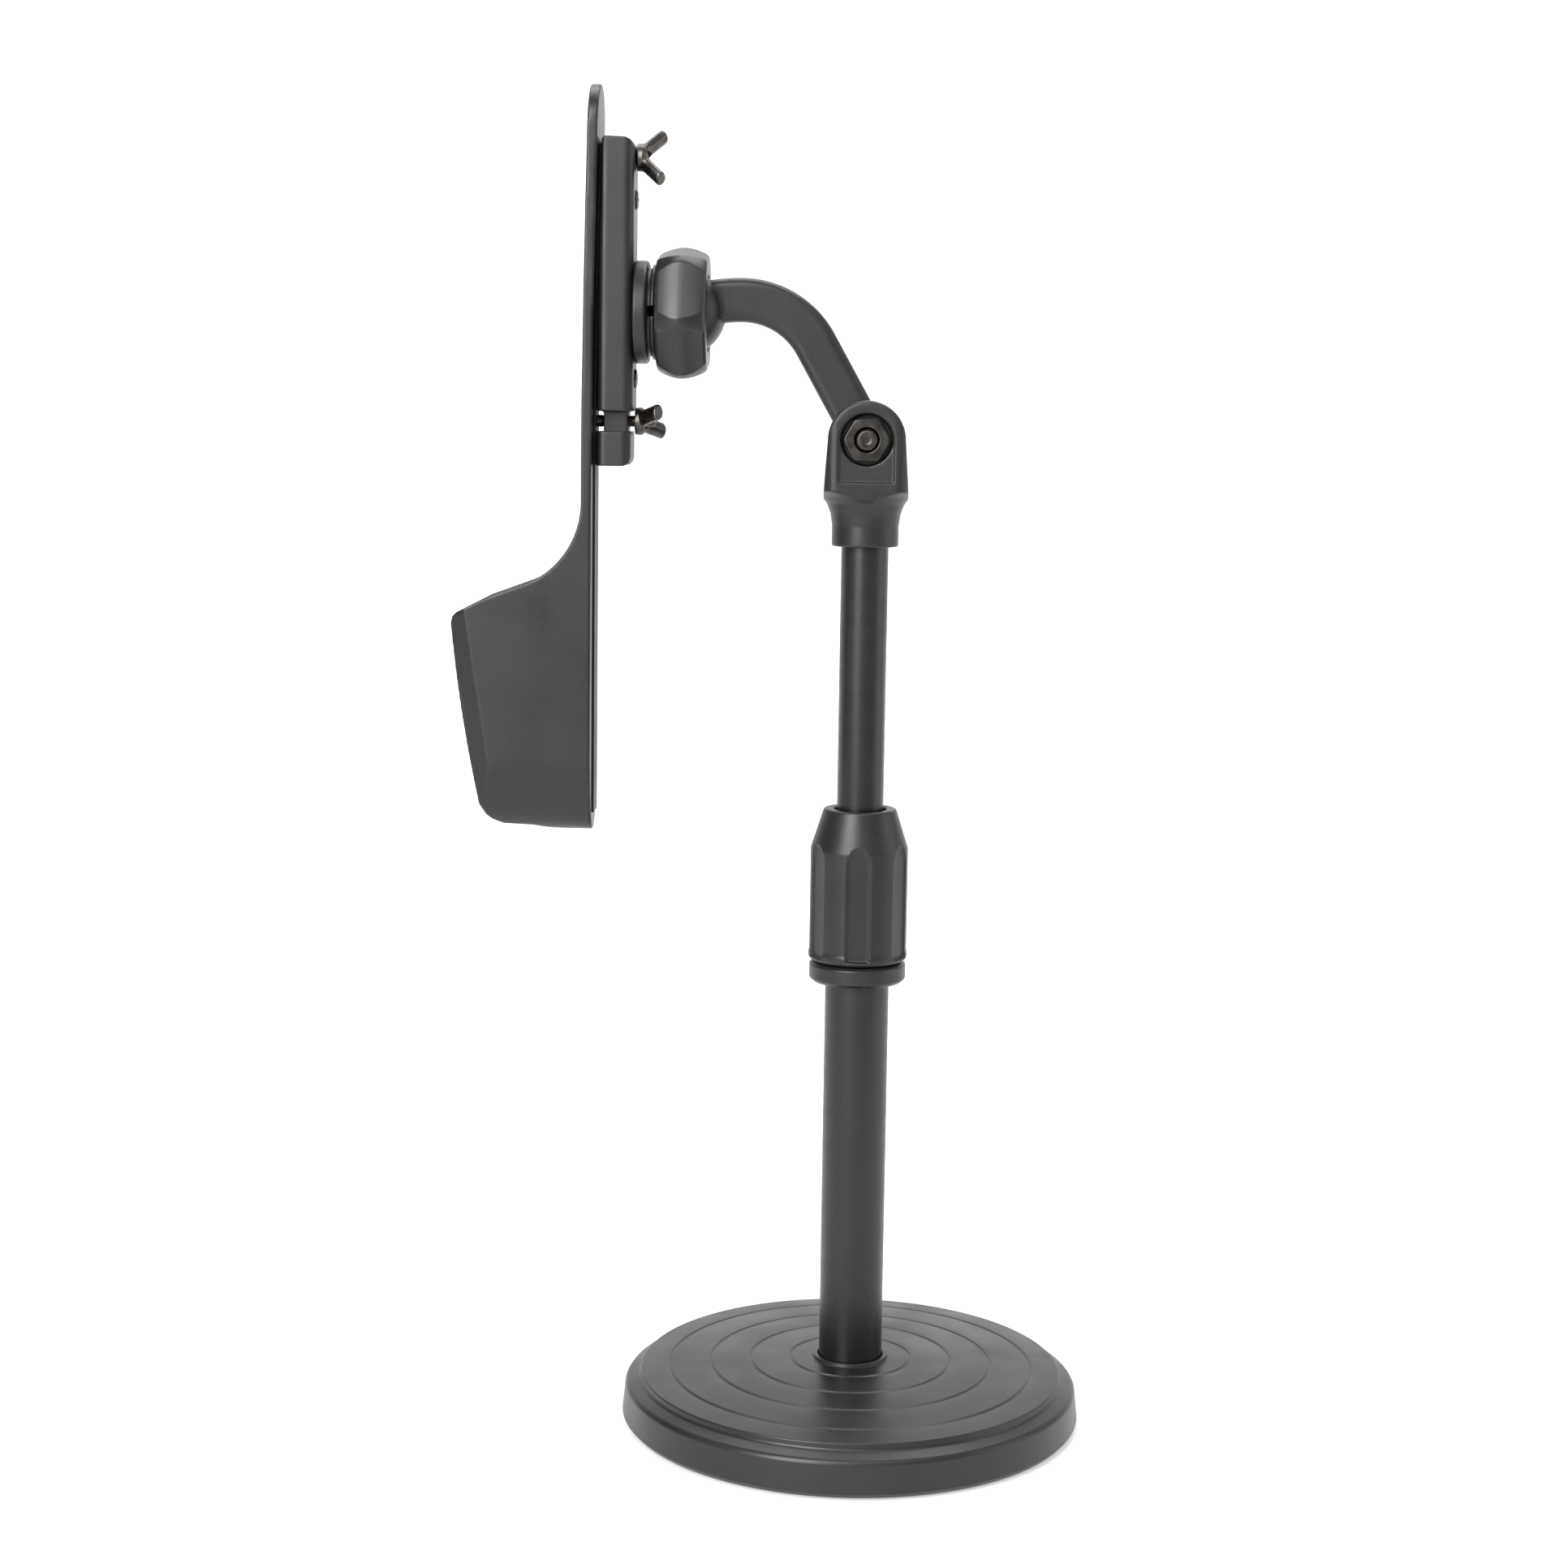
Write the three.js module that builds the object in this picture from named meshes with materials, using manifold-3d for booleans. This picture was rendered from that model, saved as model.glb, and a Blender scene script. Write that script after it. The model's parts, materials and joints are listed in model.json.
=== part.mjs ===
// Telescopic desk stand with a narrow upright cup holder: a weighted round base, a twist-lock pole in
// two tubes, a bent arm on a clevis, a ball joint, and a clamp bracket that carries the holder.
// Millimetres. +Z is up, the pole stands on the origin, the holder is on the -X side.
import * as THREE from 'three';
import { mergeVertices } from 'three/addons/utils/BufferGeometryUtils.js';
import Module from 'manifold-3d';

const wasm = await Module();
wasm.setup();

// ---- driving dimensions ----
const GAP = 0.3; // clearance between neighbouring solids
const BASE_R = 80;
const BASE_EDGE_R = 73.5; // edge of the base's top disc
const BASE_EDGE_Z = 17.5;
const DOME_RISE = 4.0;
const COVER_WALL = 2.4;
const GROOVE_RADII = [21, 35, 49, 63.5];
const GROOVE = { half: 0.55, depth: 0.5 };
const TUBE_LIP = { outer: 13, rise: 1.1 }; // raised ring of the base round the pole
const LOWER_TUBE_R = 11;
const LOWER_TUBE_BORE = 9.8;
const LOWER_TUBE_Z = [11.6, 178];
const UPPER_TUBE_R = 8;
const UPPER_TUBE_BORE = 6.9;
const UPPER_TUBE_Z = [104, 318];
const RING_Z = [156.5, 163.4]; // flange of the lock sleeve, under the twist collar
const RING_R = 16.6;
const COLLAR_Z = [163.9, 216.5];
const COLLAR_R = 16.75;
const COLLAR_SHOULDER_Z = 202.8;
const COLLAR_TOP_R = 12.4;
const FLUTE_COUNT = 6;
const FLUTE = { half: 4, archRise: 6, z: [165.6, 204.5], depth: 1.15 };
const FERRULE_Z = 306;
const FERRULE_R = 11.3;
const PIVOT_Z = 341.9; // clevis axis, along Y
const EAR_R = 13;
const YOKE_HALF = { x: 14.3, y: 15 };
const YOKE_EDGE = 1.4; // rounding of the clevis block's edges
const SLOT_HALF = 6.9; // half the clevis slot
const SLOT_FLOOR_Z = 331.5;
const ARCH_PANEL = { half: 9.3, z: 327.7, depth: 0.6 };
const NUT_RECESS_R = 8.65;
const NUT_RECESS_DEPTH = 5.2;
const M8_R = 3.95;
const M8_NUT = { halfFlats: 6.75, thick: 4.4 };
const PIVOT_BORE_R = 4.3;
const ARM_THICK = 14.6;
const ARM_HALF_Y = 5.5;
const ARM_LEAN = THREE.MathUtils.degToRad(29.5); // from vertical, towards -X
const ARM_BEND_R = 28.3;
const ARM_DROOP = { r: 60, turn: THREE.MathUtils.degToRad(16) };
const ARM_TOP_Z = 387.5;
const EYE_R = 8.8;
const BALL = { x: -62, z: 383, r: 14 };
const BALL_NUT_X = [-70.7, -53.8];
const BALL_NUT_R = { mid: 22.8, end: 20 }; // crowned barrel
const BALL_NUT_FLAT = { mid: 20.5, end: 18.7 }; // distance of its crowned flats
const BALL_NUT_TURN = THREE.MathUtils.degToRad(10); // one flat faces 20 degrees above -Y
const FLANGE_X = [-78.1, -73.7];
const FLANGE_R = 17.1;
const BALL_MOUTH_R = 12.4; // opening of the ball nut, on the arm's side
const SOCKET_POCKET_R = 15.1;
const BALL_PAD_R = [14.3, 14.8]; // spherical liner between the ball and its pocket
const SLIT_HALF = 1.7;
const BRACKET_BACK_X = -78.4;
const BRACKET_HALF_Y = 10;
const BRACKET_Z = [350.1, 440.1];
const TONGUE = { x0: -88.4, x1: -80.2, halfY: 5, z0: 334 };
const JAW_BACK_X = -79;
const JAW_Z = [331.9, 343.4];
const SCREW_Z = { upper: 420, lower: 361 };
const BOLT_Z = { top: 433.8, bottom: 346.8 };
const BOLT_END_X = { top: -74.5, bottom: -71.2 };
const M4_R = 2;
const WING_HUB_X = [-78.1, -74.7];
const WING_REACH = 9.6;
const WING_TURN = { top: THREE.MathUtils.degToRad(51), bottom: THREE.MathUtils.degToRad(-20) };
const PLATE_HALF_Y = 13.5;
const PLATE_THICK = 3.5;
const PLATE_FRONT_X = -95.2;
const PLATE_Z = [207.6, 457.5];
const BOW_START_Z = 335; // above this the plate bows back
const BOW_AT_TOP = 1.9;
const CUP = {
  frontTop: [-139.4, 278.6], rimCorner: [-137.4, 282.2], slopeMiddle: [-128, 287], slopeEnd: [-113.4, 292.4],
  frontFoot: [-129.9, 217], frontBulge: 1, filletR: 29.7, filletZ: 319.8,
};
const CUP_WALL = 2.3;
const CUP_BOTTOM_RISE = 26; // height of the rounded lower end, seen from the front
const CUP_CORNER = { width: 5.6, depth: 3.4 }; // what is off its front vertical corners
const PANEL = { halfY: 6, thick: 0.6, gap: 0.1, z0: 214, z1: 438 };
const BRACKET_GAP = 0.45; // between the rear panel and the bracket

// ---- helpers ----
function signedVolume(position, index) {
  const a = new THREE.Vector3();
  const b = new THREE.Vector3();
  const c = new THREE.Vector3();
  let volume = 0;
  for (let i = 0; i < index.length; i += 3) {
    a.fromBufferAttribute(position, index[i]);
    b.fromBufferAttribute(position, index[i + 1]);
    c.fromBufferAttribute(position, index[i + 2]);
    volume += a.dot(b.cross(c)) / 6;
  }
  return volume;
}

// a closed body with shared vertices, no zero-area triangles and faces pointing out
function solid(geometry) {
  const bare = geometry.index ? geometry.toNonIndexed() : geometry.clone();
  for (const name of Object.keys(bare.attributes)) {
    if (name !== 'position') bare.deleteAttribute(name);
  }
  const merged = mergeVertices(bare, 1e-4);
  const source = merged.index.array;
  const index = [];
  for (let i = 0; i < source.length; i += 3) {
    const [a, b, c] = [source[i], source[i + 1], source[i + 2]];
    if (a !== b && b !== c && c !== a) index.push(a, b, c);
  }
  if (signedVolume(merged.attributes.position, index) < 0) index.reverse();
  merged.setIndex(index);
  return merged;
}

function manifold(geometry) {
  const body = solid(geometry);
  return new wasm.Manifold(new wasm.Mesh({
    numProp: 3,
    vertProperties: new Float32Array(body.attributes.position.array),
    triVerts: new Uint32Array(body.index.array),
  }));
}

function fromManifold(body) {
  const mesh = body.getMesh();
  const geometry = new THREE.BufferGeometry();
  geometry.setAttribute('position', new THREE.BufferAttribute(mesh.vertProperties, 3));
  geometry.setIndex(new THREE.BufferAttribute(mesh.triVerts, 1));
  return geometry;
}

const union = (first, ...rest) => rest.reduce((body, other) => body.add(manifold(other)), manifold(first));
const cut = (body, ...tools) => tools.reduce((left, tool) => left.subtract(manifold(tool)), body);

// revolve [radius, height] points about Z
function revolve(points, segments = 48) {
  const profile = points.map(([r, z]) => new THREE.Vector2(r, z));
  return new THREE.LatheGeometry(profile, segments).rotateX(Math.PI / 2);
}

// revolve a closed ring section about Z
const ring = (points, segments) => revolve([...points, points[0]], segments);

const tube = (inner, outer, z0, z1, segments) => (
  ring([[inner, z0], [outer, z0], [outer, z1], [inner, z1]], segments));
const rod = (r, z0, z1, segments) => revolve([[0, z0], [r, z0], [r, z1], [0, z1]], segments);

// turn a body built about Z so that its +Z runs along +X, at height z
const alongX = (geometry, z = 0) => geometry.rotateY(Math.PI / 2).translate(0, 0, z);
// turn a body built about Z so that its +Z runs along -Y, at height z
const alongMinusY = (geometry, z = 0) => geometry.rotateX(Math.PI / 2).translate(0, 0, z);

function outline(points) {
  return new THREE.Shape(points.map(([x, y]) => new THREE.Vector2(x, y)));
}

const AXES = {
  x: new THREE.Matrix4().makeBasis(
    new THREE.Vector3(0, 1, 0), new THREE.Vector3(0, 0, 1), new THREE.Vector3(1, 0, 0)),
  y: new THREE.Matrix4().makeBasis(
    new THREE.Vector3(1, 0, 0), new THREE.Vector3(0, 0, 1), new THREE.Vector3(0, -1, 0)),
  z: new THREE.Matrix4(),
};

// extrude an outline between two values along an axis; its own axes are the other two, in X, Y, Z order
function slab(axis, shape, low, high, bevel = 0, curveSegments = 12) {
  const depth = high - low - 2 * bevel;
  const geometry = new THREE.ExtrudeGeometry(shape, {
    depth, curveSegments, bevelEnabled: bevel > 0, bevelThickness: bevel, bevelSize: bevel,
    bevelOffset: -bevel, bevelSegments: 3,
  });
  geometry.applyMatrix4(AXES[axis]);
  const start = { x: [low + bevel, 0, 0], y: [0, high - bevel, 0], z: [0, 0, low + bevel] };
  return geometry.translate(...start[axis]);
}

function box(x0, x1, y0, y1, z0, z1) {
  return new THREE.BoxGeometry(x1 - x0, y1 - y0, z1 - z0)
    .translate((x0 + x1) / 2, (y0 + y1) / 2, (z0 + z1) / 2);
}

// rectangle with rounded corners, centred on the origin
function roundedRect(halfX, halfY, r) {
  const shape = new THREE.Shape();
  shape.absarc(halfX - r, halfY - r, r, 0, Math.PI / 2);
  shape.absarc(-halfX + r, halfY - r, r, Math.PI / 2, Math.PI);
  shape.absarc(-halfX + r, -halfY + r, r, Math.PI, 1.5 * Math.PI);
  shape.absarc(halfX - r, -halfY + r, r, 1.5 * Math.PI, 2 * Math.PI);
  return shape;
}

// hexagon with the given half width across flats; its flats face up and down
function hexagon(halfFlats, turn = 0) {
  const corner = halfFlats / Math.cos(Math.PI / 6);
  const points = [];
  for (let i = 0; i < 6; i += 1) {
    const angle = turn + (i * Math.PI) / 3;
    points.push([corner * Math.cos(angle), corner * Math.sin(angle)]);
  }
  return outline(points);
}

// ---- materials ----
const finish = (color, roughness, metalness) => (
  new THREE.MeshStandardMaterial({ color, roughness, metalness }));
const FINISH = {
  shell: finish(0x2b2b2c, 0.62, 0.0),
  tube: finish(0x252628, 0.42, 0.3),
  joint: finish(0x303133, 0.5, 0.0),
  nylon: finish(0x1c1c1d, 0.7, 0.0),
  rubber: finish(0x161616, 0.9, 0.0),
  weight: finish(0x55575a, 0.6, 0.9),
  fastener: finish(0x5c5c5b, 0.35, 1.0),
};

const stand = new THREE.Group();

function piece(name, geometry, material) {
  const body = solid(geometry);
  body.computeVertexNormals();
  const mesh = new THREE.Mesh(body, material);
  mesh.name = name;
  stand.add(mesh);
  return mesh;
}

// ---- base ----
const domeZ = (r) => BASE_EDGE_Z + DOME_RISE * (1 - (r / BASE_EDGE_R) ** 2);

// outer profile of the domed top from a small radius out to the disc's edge, with its ring grooves
function domeProfile() {
  const { half, depth } = GROOVE;
  const points = [];
  for (const r of GROOVE_RADII) {
    points.push([r - half, domeZ(r - half)], [r, domeZ(r) - depth], [r + half, domeZ(r + half)]);
  }
  return points;
}

function baseCover() {
  const lip = { ...TUBE_LIP, inner: LOWER_TUBE_R + 0.4, z: domeZ(TUBE_LIP.outer) + TUBE_LIP.rise };
  const side = [[BASE_EDGE_R, BASE_EDGE_Z], [74.6, 15.9], [77.8, 13.7], [79.3, 11.2], [BASE_R, 2.6],
    [78.4, 0.8]];
  const inside = [[77.2, 1.6], [77, 9.6], [72, 13.6], [45, domeZ(45) - COVER_WALL],
    [lip.inner, domeZ(lip.inner) - COVER_WALL]];
  const top = [[lip.inner, lip.z], [lip.outer - 0.4, lip.z], [lip.outer, lip.z - 0.4],
    [lip.outer + 0.2, domeZ(lip.outer)]];
  return ring([...top, ...domeProfile(), ...side, ...inside], 48);
}

piece('base_pad', revolve([[0, 0], [75.5, 0], [76, 0.5], [76, 1.7], [0, 1.7]], 48), FINISH.rubber);
piece('base_cover', baseCover(), FINISH.shell);
piece('base_weight', ring([[9.4, 2], [72, 2], [72, 11.2], [4.6, 11.2], [4.6, 8], [9.4, 8]], 40),
  FINISH.weight);
piece('base_washer', tube(4.4, 8.6, 6.4, 7.7, 24), FINISH.fastener);
piece('base_bolt', fromManifold(union(
  slab('z', hexagon(6.5), 2.2, 6.1), rod(4, 5.5, 26, 20))), FINISH.fastener);
piece('tube_plug', tube(4.3, 9.5, LOWER_TUBE_Z[0], 31, 24), FINISH.nylon);

// ---- pole ----
piece('lower_tube', tube(LOWER_TUBE_BORE, LOWER_TUBE_R, ...LOWER_TUBE_Z, 40), FINISH.tube);
piece('lock_sleeve', ring([[LOWER_TUBE_R + GAP, RING_Z[0]], [15.6, RING_Z[0]],
  [RING_R, RING_Z[0] + 1], [RING_R, RING_Z[1] - 1], [15.6, RING_Z[1]],
  [13.4, RING_Z[1]], [13.4, 184], [LOWER_TUBE_R + GAP, 184]], 40), FINISH.joint);
piece('tube_bushing', ring([[8.3, 160], [9.5, 160], [9.5, 178.4], [10.9, 178.4], [10.9, 180.4],
  [8.3, 180.4]], 32), FINISH.nylon);

function collet() {
  const fingers = manifold(ring([[8.3, 184.4], [12.3, 184.4], [12.3, 188], [10.6, 203.4], [8.3, 203.4]], 32));
  const slits = [0, Math.PI / 2].map((turn) => box(-15, 15, -0.7, 0.7, 189, 205).rotateZ(turn));
  return fromManifold(cut(fingers, ...slits));
}
piece('collet', collet(), FINISH.nylon);

function flute(turn) {
  const { half, archRise, depth } = FLUTE;
  const [foot, top] = FLUTE.z;
  const shape = new THREE.Shape();
  shape.moveTo(-half, foot);
  shape.lineTo(half, foot);
  shape.lineTo(half, top - archRise);
  shape.absellipse(0, top - archRise, half, archRise, 0, Math.PI);
  return slab('x', shape, COLLAR_R - depth, COLLAR_R + 3, 0, 5).rotateZ(turn);
}

function twistCollar() {
  const body = manifold(ring([[13.8, COLLAR_Z[0]], [16, COLLAR_Z[0]],
    [17, COLLAR_Z[0] + 1], [17, 166.8], [COLLAR_R, 167.6], [COLLAR_R, COLLAR_SHOULDER_Z],
    [COLLAR_TOP_R, COLLAR_Z[1] - 0.5], [COLLAR_TOP_R - 0.6, COLLAR_Z[1]],
    [9, COLLAR_Z[1]], [9, 206], [11.1, 204], [12.8, 188], [12.8, 185], [13.8, 185]], 48));
  const flutes = [];
  for (let i = 0; i < FLUTE_COUNT; i += 1) {
    flutes.push(flute(-Math.PI / 2 + (i * 2 * Math.PI) / FLUTE_COUNT));
  }
  return fromManifold(cut(body, ...flutes));
}
piece('twist_collar', twistCollar(), FINISH.joint);
piece('slide_bush', revolve([[0, 100], [9.5, 100], [9.5, 114], [8.2, 114], [8.2, 103.6],
  [0, 103.6]], 32), FINISH.nylon);
piece('upper_tube', tube(UPPER_TUBE_BORE, UPPER_TUBE_R, ...UPPER_TUBE_Z, 40), FINISH.tube);

// ---- clevis ----
function archOutline(halfBase, halfWidth, baseZ) {
  const shape = new THREE.Shape();
  shape.moveTo(-halfBase, baseZ);
  shape.lineTo(halfBase, baseZ);
  shape.lineTo(halfWidth, PIVOT_Z);
  shape.absarc(0, PIVOT_Z, halfWidth, 0, Math.PI);
  return shape;
}

function yoke() {
  const { x, y } = YOKE_HALF;
  const block = manifold(slab('z', roundedRect(x, y, 4.5), FERRULE_Z, 360, 0, 4));
  const sides = slab('y', archOutline(x + YOKE_EDGE, EAR_R, FERRULE_Z), -y, y, YOKE_EDGE, 10);
  const flare = revolve([[0, FERRULE_Z], [FERRULE_R - 0.4, FERRULE_Z], [FERRULE_R, FERRULE_Z + 0.5],
    [FERRULE_R, 313], [11.9, 317], [13.2, 320.4], [15.4, 323], [18.5, 324.6], [24, 325.6], [24, 358],
    [0, 358]], 40);
  const body = block.intersect(manifold(sides)).intersect(manifold(flare));
  const slot = box(-30, 30, -SLOT_HALF, SLOT_HALF, SLOT_FLOOR_Z, 370);
  const arch = archOutline(ARCH_PANEL.half, ARCH_PANEL.half, ARCH_PANEL.z);
  const depth = ARCH_PANEL.depth;
  const panels = [[-y - 1, -y + depth], [y - depth, y + 1]].map((span) => slab('y', arch, ...span, 0, 8));
  const recesses = [-1, 1].map((side) => {
    const low = side < 0 ? -y - 1 : y - NUT_RECESS_DEPTH;
    const high = side < 0 ? -y + NUT_RECESS_DEPTH : y + 1;
    return alongMinusY(rod(NUT_RECESS_R, -high, -low, 28), PIVOT_Z);
  });
  const bore = alongMinusY(rod(PIVOT_BORE_R, -30, 30, 24), PIVOT_Z);
  const socket = rod(UPPER_TUBE_R + GAP, FERRULE_Z - 1, UPPER_TUBE_Z[1] + 1, 32);
  return fromManifold(cut(body, slot, ...panels, ...recesses, bore, socket));
}
piece('yoke', yoke(), FINISH.joint);

// ---- pivot: a hexagon bolt from the back, its nut and two washers ----
const nutFace = YOKE_HALF.y - NUT_RECESS_DEPTH + GAP;
const boltFace = YOKE_HALF.y + 0.5;

function pivotBolt() {
  const { halfFlats, thick } = M8_NUT;
  const shank = revolve([[0, -nutFace - 1], [M8_R, -nutFace - 1], [M8_R, boltFace - 0.8],
    [M8_R - 0.75, boltFace], [0, boltFace]], 28);
  const head = slab('y', hexagon(halfFlats), nutFace, nutFace + thick).translate(0, 0, PIVOT_Z);
  return fromManifold(union(head, alongMinusY(shank, PIVOT_Z)));
}
piece('pivot_bolt', pivotBolt(), FINISH.fastener);

function pivotNut() {
  const { halfFlats, thick } = M8_NUT;
  const body = slab('y', hexagon(halfFlats), -nutFace - thick, -nutFace, 0.3).translate(0, 0, PIVOT_Z);
  return fromManifold(cut(manifold(body), alongMinusY(rod(M8_R + GAP, 0, 30, 28), PIVOT_Z)));
}
piece('pivot_nut', pivotNut(), FINISH.fastener);

for (const [name, low] of [['front', ARM_HALF_Y + 0.25], ['rear', -SLOT_HALF + 0.25]]) {
  piece(`pivot_washer_${name}`, alongMinusY(tube(PIVOT_BORE_R, 8.6, low, low + 0.9, 24), PIVOT_Z),
    FINISH.nylon);
}

// ---- bent arm: straight up from the pivot, one tight bend, then a slight droop into the ball ----
class ArmAxis extends THREE.Curve {
  constructor() {
    super();
    const rise = ARM_TOP_Z - PIVOT_Z;
    const turn = Math.PI / 2 - ARM_LEAN;
    const straight = rise / Math.cos(ARM_LEAN) - ARM_BEND_R * Math.tan(turn / 2);
    this.runs = [[straight, 0], [ARM_BEND_R * turn, 1 / ARM_BEND_R],
      [ARM_DROOP.r * ARM_DROOP.turn, 1 / ARM_DROOP.r]];
    this.total = this.runs.reduce((sum, [length]) => sum + length, 0);
  }

  getPoint(t, target = new THREE.Vector3()) {
    let left = t * this.total;
    let heading = ARM_LEAN; // from +Z towards -X
    target.set(0, 0, PIVOT_Z);
    for (const [length, curvature] of this.runs) {
      const s = Math.min(left, length);
      if (curvature === 0) {
        target.x -= s * Math.sin(heading);
        target.z += s * Math.cos(heading);
      } else {
        const end = heading + s * curvature;
        target.x -= (Math.cos(heading) - Math.cos(end)) / curvature;
        target.z += (Math.sin(end) - Math.sin(heading)) / curvature;
        heading = end;
      }
      left -= s;
      if (left <= 0) break;
    }
    return target;
  }
}

function arm() {
  const bar = new THREE.ExtrudeGeometry(roundedRect(ARM_HALF_Y, ARM_THICK / 2, 2.6), {
    extrudePath: new ArmAxis(), steps: 20, bevelEnabled: false, curveSegments: 2,
  });
  const eye = alongMinusY(rod(EYE_R, -ARM_HALF_Y, ARM_HALF_Y, 36), PIVOT_Z);
  const ball = new THREE.SphereGeometry(BALL.r, 28, 16).rotateX(Math.PI / 2).translate(BALL.x, 0, BALL.z);
  return fromManifold(cut(union(bar, eye, ball), alongMinusY(rod(PIVOT_BORE_R, -30, 30, 24), PIVOT_Z)));
}
piece('arm', arm(), FINISH.joint);

// ---- ball joint, about X through the ball's centre ----
const NUT_EDGE = 0.9;

// profile of the ball nut's crown, from its radius at mid-width down to its radius at both ends
function crown(radius, scale = 1) {
  const [low, high] = BALL_NUT_X;
  const middle = (low + high) / 2;
  const half = (high - low) / 2 - NUT_EDGE;
  const points = [[0, low], [scale * (radius.end - NUT_EDGE), low]];
  for (const t of [-1, -0.5, 0, 0.5, 1]) {
    points.push([scale * (radius.mid - (radius.mid - radius.end) * t * t), middle + t * half]);
  }
  return [...points, [scale * (radius.end - NUT_EDGE), high], [0, high]];
}

function ballNut() {
  const [low, high] = BALL_NUT_X;
  const cornerScale = 1 / Math.cos(Math.PI / 6);
  const barrel = manifold(revolve(crown(BALL_NUT_R), 48));
  const flats = manifold(revolve(crown(BALL_NUT_FLAT, cornerScale), 6).rotateZ(BALL_NUT_TURN));
  const hole = revolve([[0, low - 1], [16.4, low - 1], [16.4, -60.4], [15.2, -60.4], [15.2, -56.4],
    [BALL_MOUTH_R, high], [BALL_MOUTH_R, high + 1], [0, high + 1]], 36);
  return alongX(fromManifold(barrel.intersect(flats).subtract(manifold(hole))), BALL.z);
}
piece('ball_nut', ballNut(), FINISH.joint);

function socket() {
  const rim = Math.sqrt(SOCKET_POCKET_R ** 2 - 0.5 ** 2);
  const pocket = [];
  for (let i = 0; i <= 5; i += 1) {
    const angle = THREE.MathUtils.lerp(Math.PI / 2, Math.asin(6.3 / SOCKET_POCKET_R), i / 5);
    pocket.push([SOCKET_POCKET_R * Math.sin(angle), BALL.x - SOCKET_POCKET_R * Math.cos(angle)]);
  }
  pocket[0] = [rim, BALL.x - 0.5];
  const profile = [[0, -85], [7.8, -85], [7.8, FLANGE_X[0]], [FLANGE_R - 0.8, FLANGE_X[0]],
    [FLANGE_R, FLANGE_X[0] + 0.8], [FLANGE_R, FLANGE_X[1] - 0.8], [FLANGE_R - 0.8, FLANGE_X[1]],
    [15.1, FLANGE_X[1]], [15.1, -70.8], [16, -70.2], [16, BALL.x - 0.5], ...pocket, [6.3, -78.2], [0, -78.2]];
  const body = manifold(revolve(profile, 36));
  const slits = [];
  for (let i = 0; i < 4; i += 1) {
    slits.push(box(9.4, 18, -SLIT_HALF, SLIT_HALF, -73.4, -61).rotateZ((i * Math.PI) / 2));
  }
  return alongX(fromManifold(cut(body, ...slits, rod(2.5, -86, -79.6, 20))), BALL.z);
}
piece('socket', socket(), FINISH.joint);

// thin spherical cap behind the ball, inside the pocket
function ballPad() {
  const [inner, outer] = BALL_PAD_R;
  const spread = THREE.MathUtils.degToRad(32);
  const arc = (r, from, to) => [0, 1, 2, 3].map((i) => {
    const angle = THREE.MathUtils.lerp(from, to, i / 3);
    return [r * Math.sin(angle), BALL.x - r * Math.cos(angle)];
  });
  return alongX(revolve([...arc(outer, 0, spread), ...arc(inner, spread, 0)], 24), BALL.z);
}
piece('ball_pad', ballPad(), FINISH.nylon);
piece('seat_ring', alongX(ring([[14.3, -60], [15, -60], [15, -56.8], [13.4, -56.8]], 32), BALL.z),
  FINISH.nylon);

// ---- clamp bracket ----
const bow = (z) => BOW_AT_TOP * (Math.max(0, z - BOW_START_Z) / (PLATE_Z[1] - BOW_START_Z)) ** 1.5;
const plateBackX = (z) => PLATE_FRONT_X + PLATE_THICK + bow(z);
const bracketFrontX = (z) => plateBackX(z) + PANEL.thick + BRACKET_GAP;

// upright bar with rounded long edges, between two heights
function roundedBar(side, backX, low, high) {
  const front = bracketFrontX(low);
  const plan = roundedRect((backX - front) / 2, BRACKET_HALF_Y, 3);
  const column = slab('z', plan, low, high, 0, 5).translate((backX + front) / 2, 0, 0);
  return manifold(slab('y', side, -BRACKET_HALF_Y - 1, BRACKET_HALF_Y + 1)).intersect(manifold(column));
}

function bracket() {
  const [low, high] = BRACKET_Z;
  const front = [low - 1, 380, 410, 428, high - 1].map((z) => [bracketFrontX(z), z]).reverse();
  const side = outline([...front, [BRACKET_BACK_X + 1, low - 1], [BRACKET_BACK_X + 1, high - 5],
    [BRACKET_BACK_X, high - 3.5], [BRACKET_BACK_X - 1, high - 1.2], [BRACKET_BACK_X - 3, high - 0.3],
    [bracketFrontX(high) + 1, high]]);
  const bar = fromManifold(roundedBar(side, BRACKET_BACK_X, low, high));
  const tongue = box(TONGUE.x0, TONGUE.x1, -TONGUE.halfY, TONGUE.halfY, TONGUE.z0, low + 4);
  const holes = [
    alongX(rod(8.2, -85.3, -70, 36), BALL.z),
    alongX(rod(5.3, -95, -86.6, 24), BALL.z),
    alongX(rod(2.9, -95, -70, 20), BALL.z),
    ...Object.values(BOLT_Z).map((z) => alongX(rod(M4_R + GAP, -95, -70, 20), z)),
    ...Object.values(SCREW_Z).map((z) => alongX(rod(1.9, -87.5, -70, 16), z)),
  ];
  return fromManifold(cut(union(bar, tongue), ...holes));
}
piece('bracket', bracket(), FINISH.joint);

function socketScrew() {
  const head = revolve([[0, -90], [4.6, -90], [4.9, -89.4], [4.9, -86.9], [0, -86.9]], 28);
  return alongX(fromManifold(union(head, rod(2.2, -87.5, -80, 20))), BALL.z);
}
piece('socket_screw', socketScrew(), FINISH.fastener);

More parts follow.
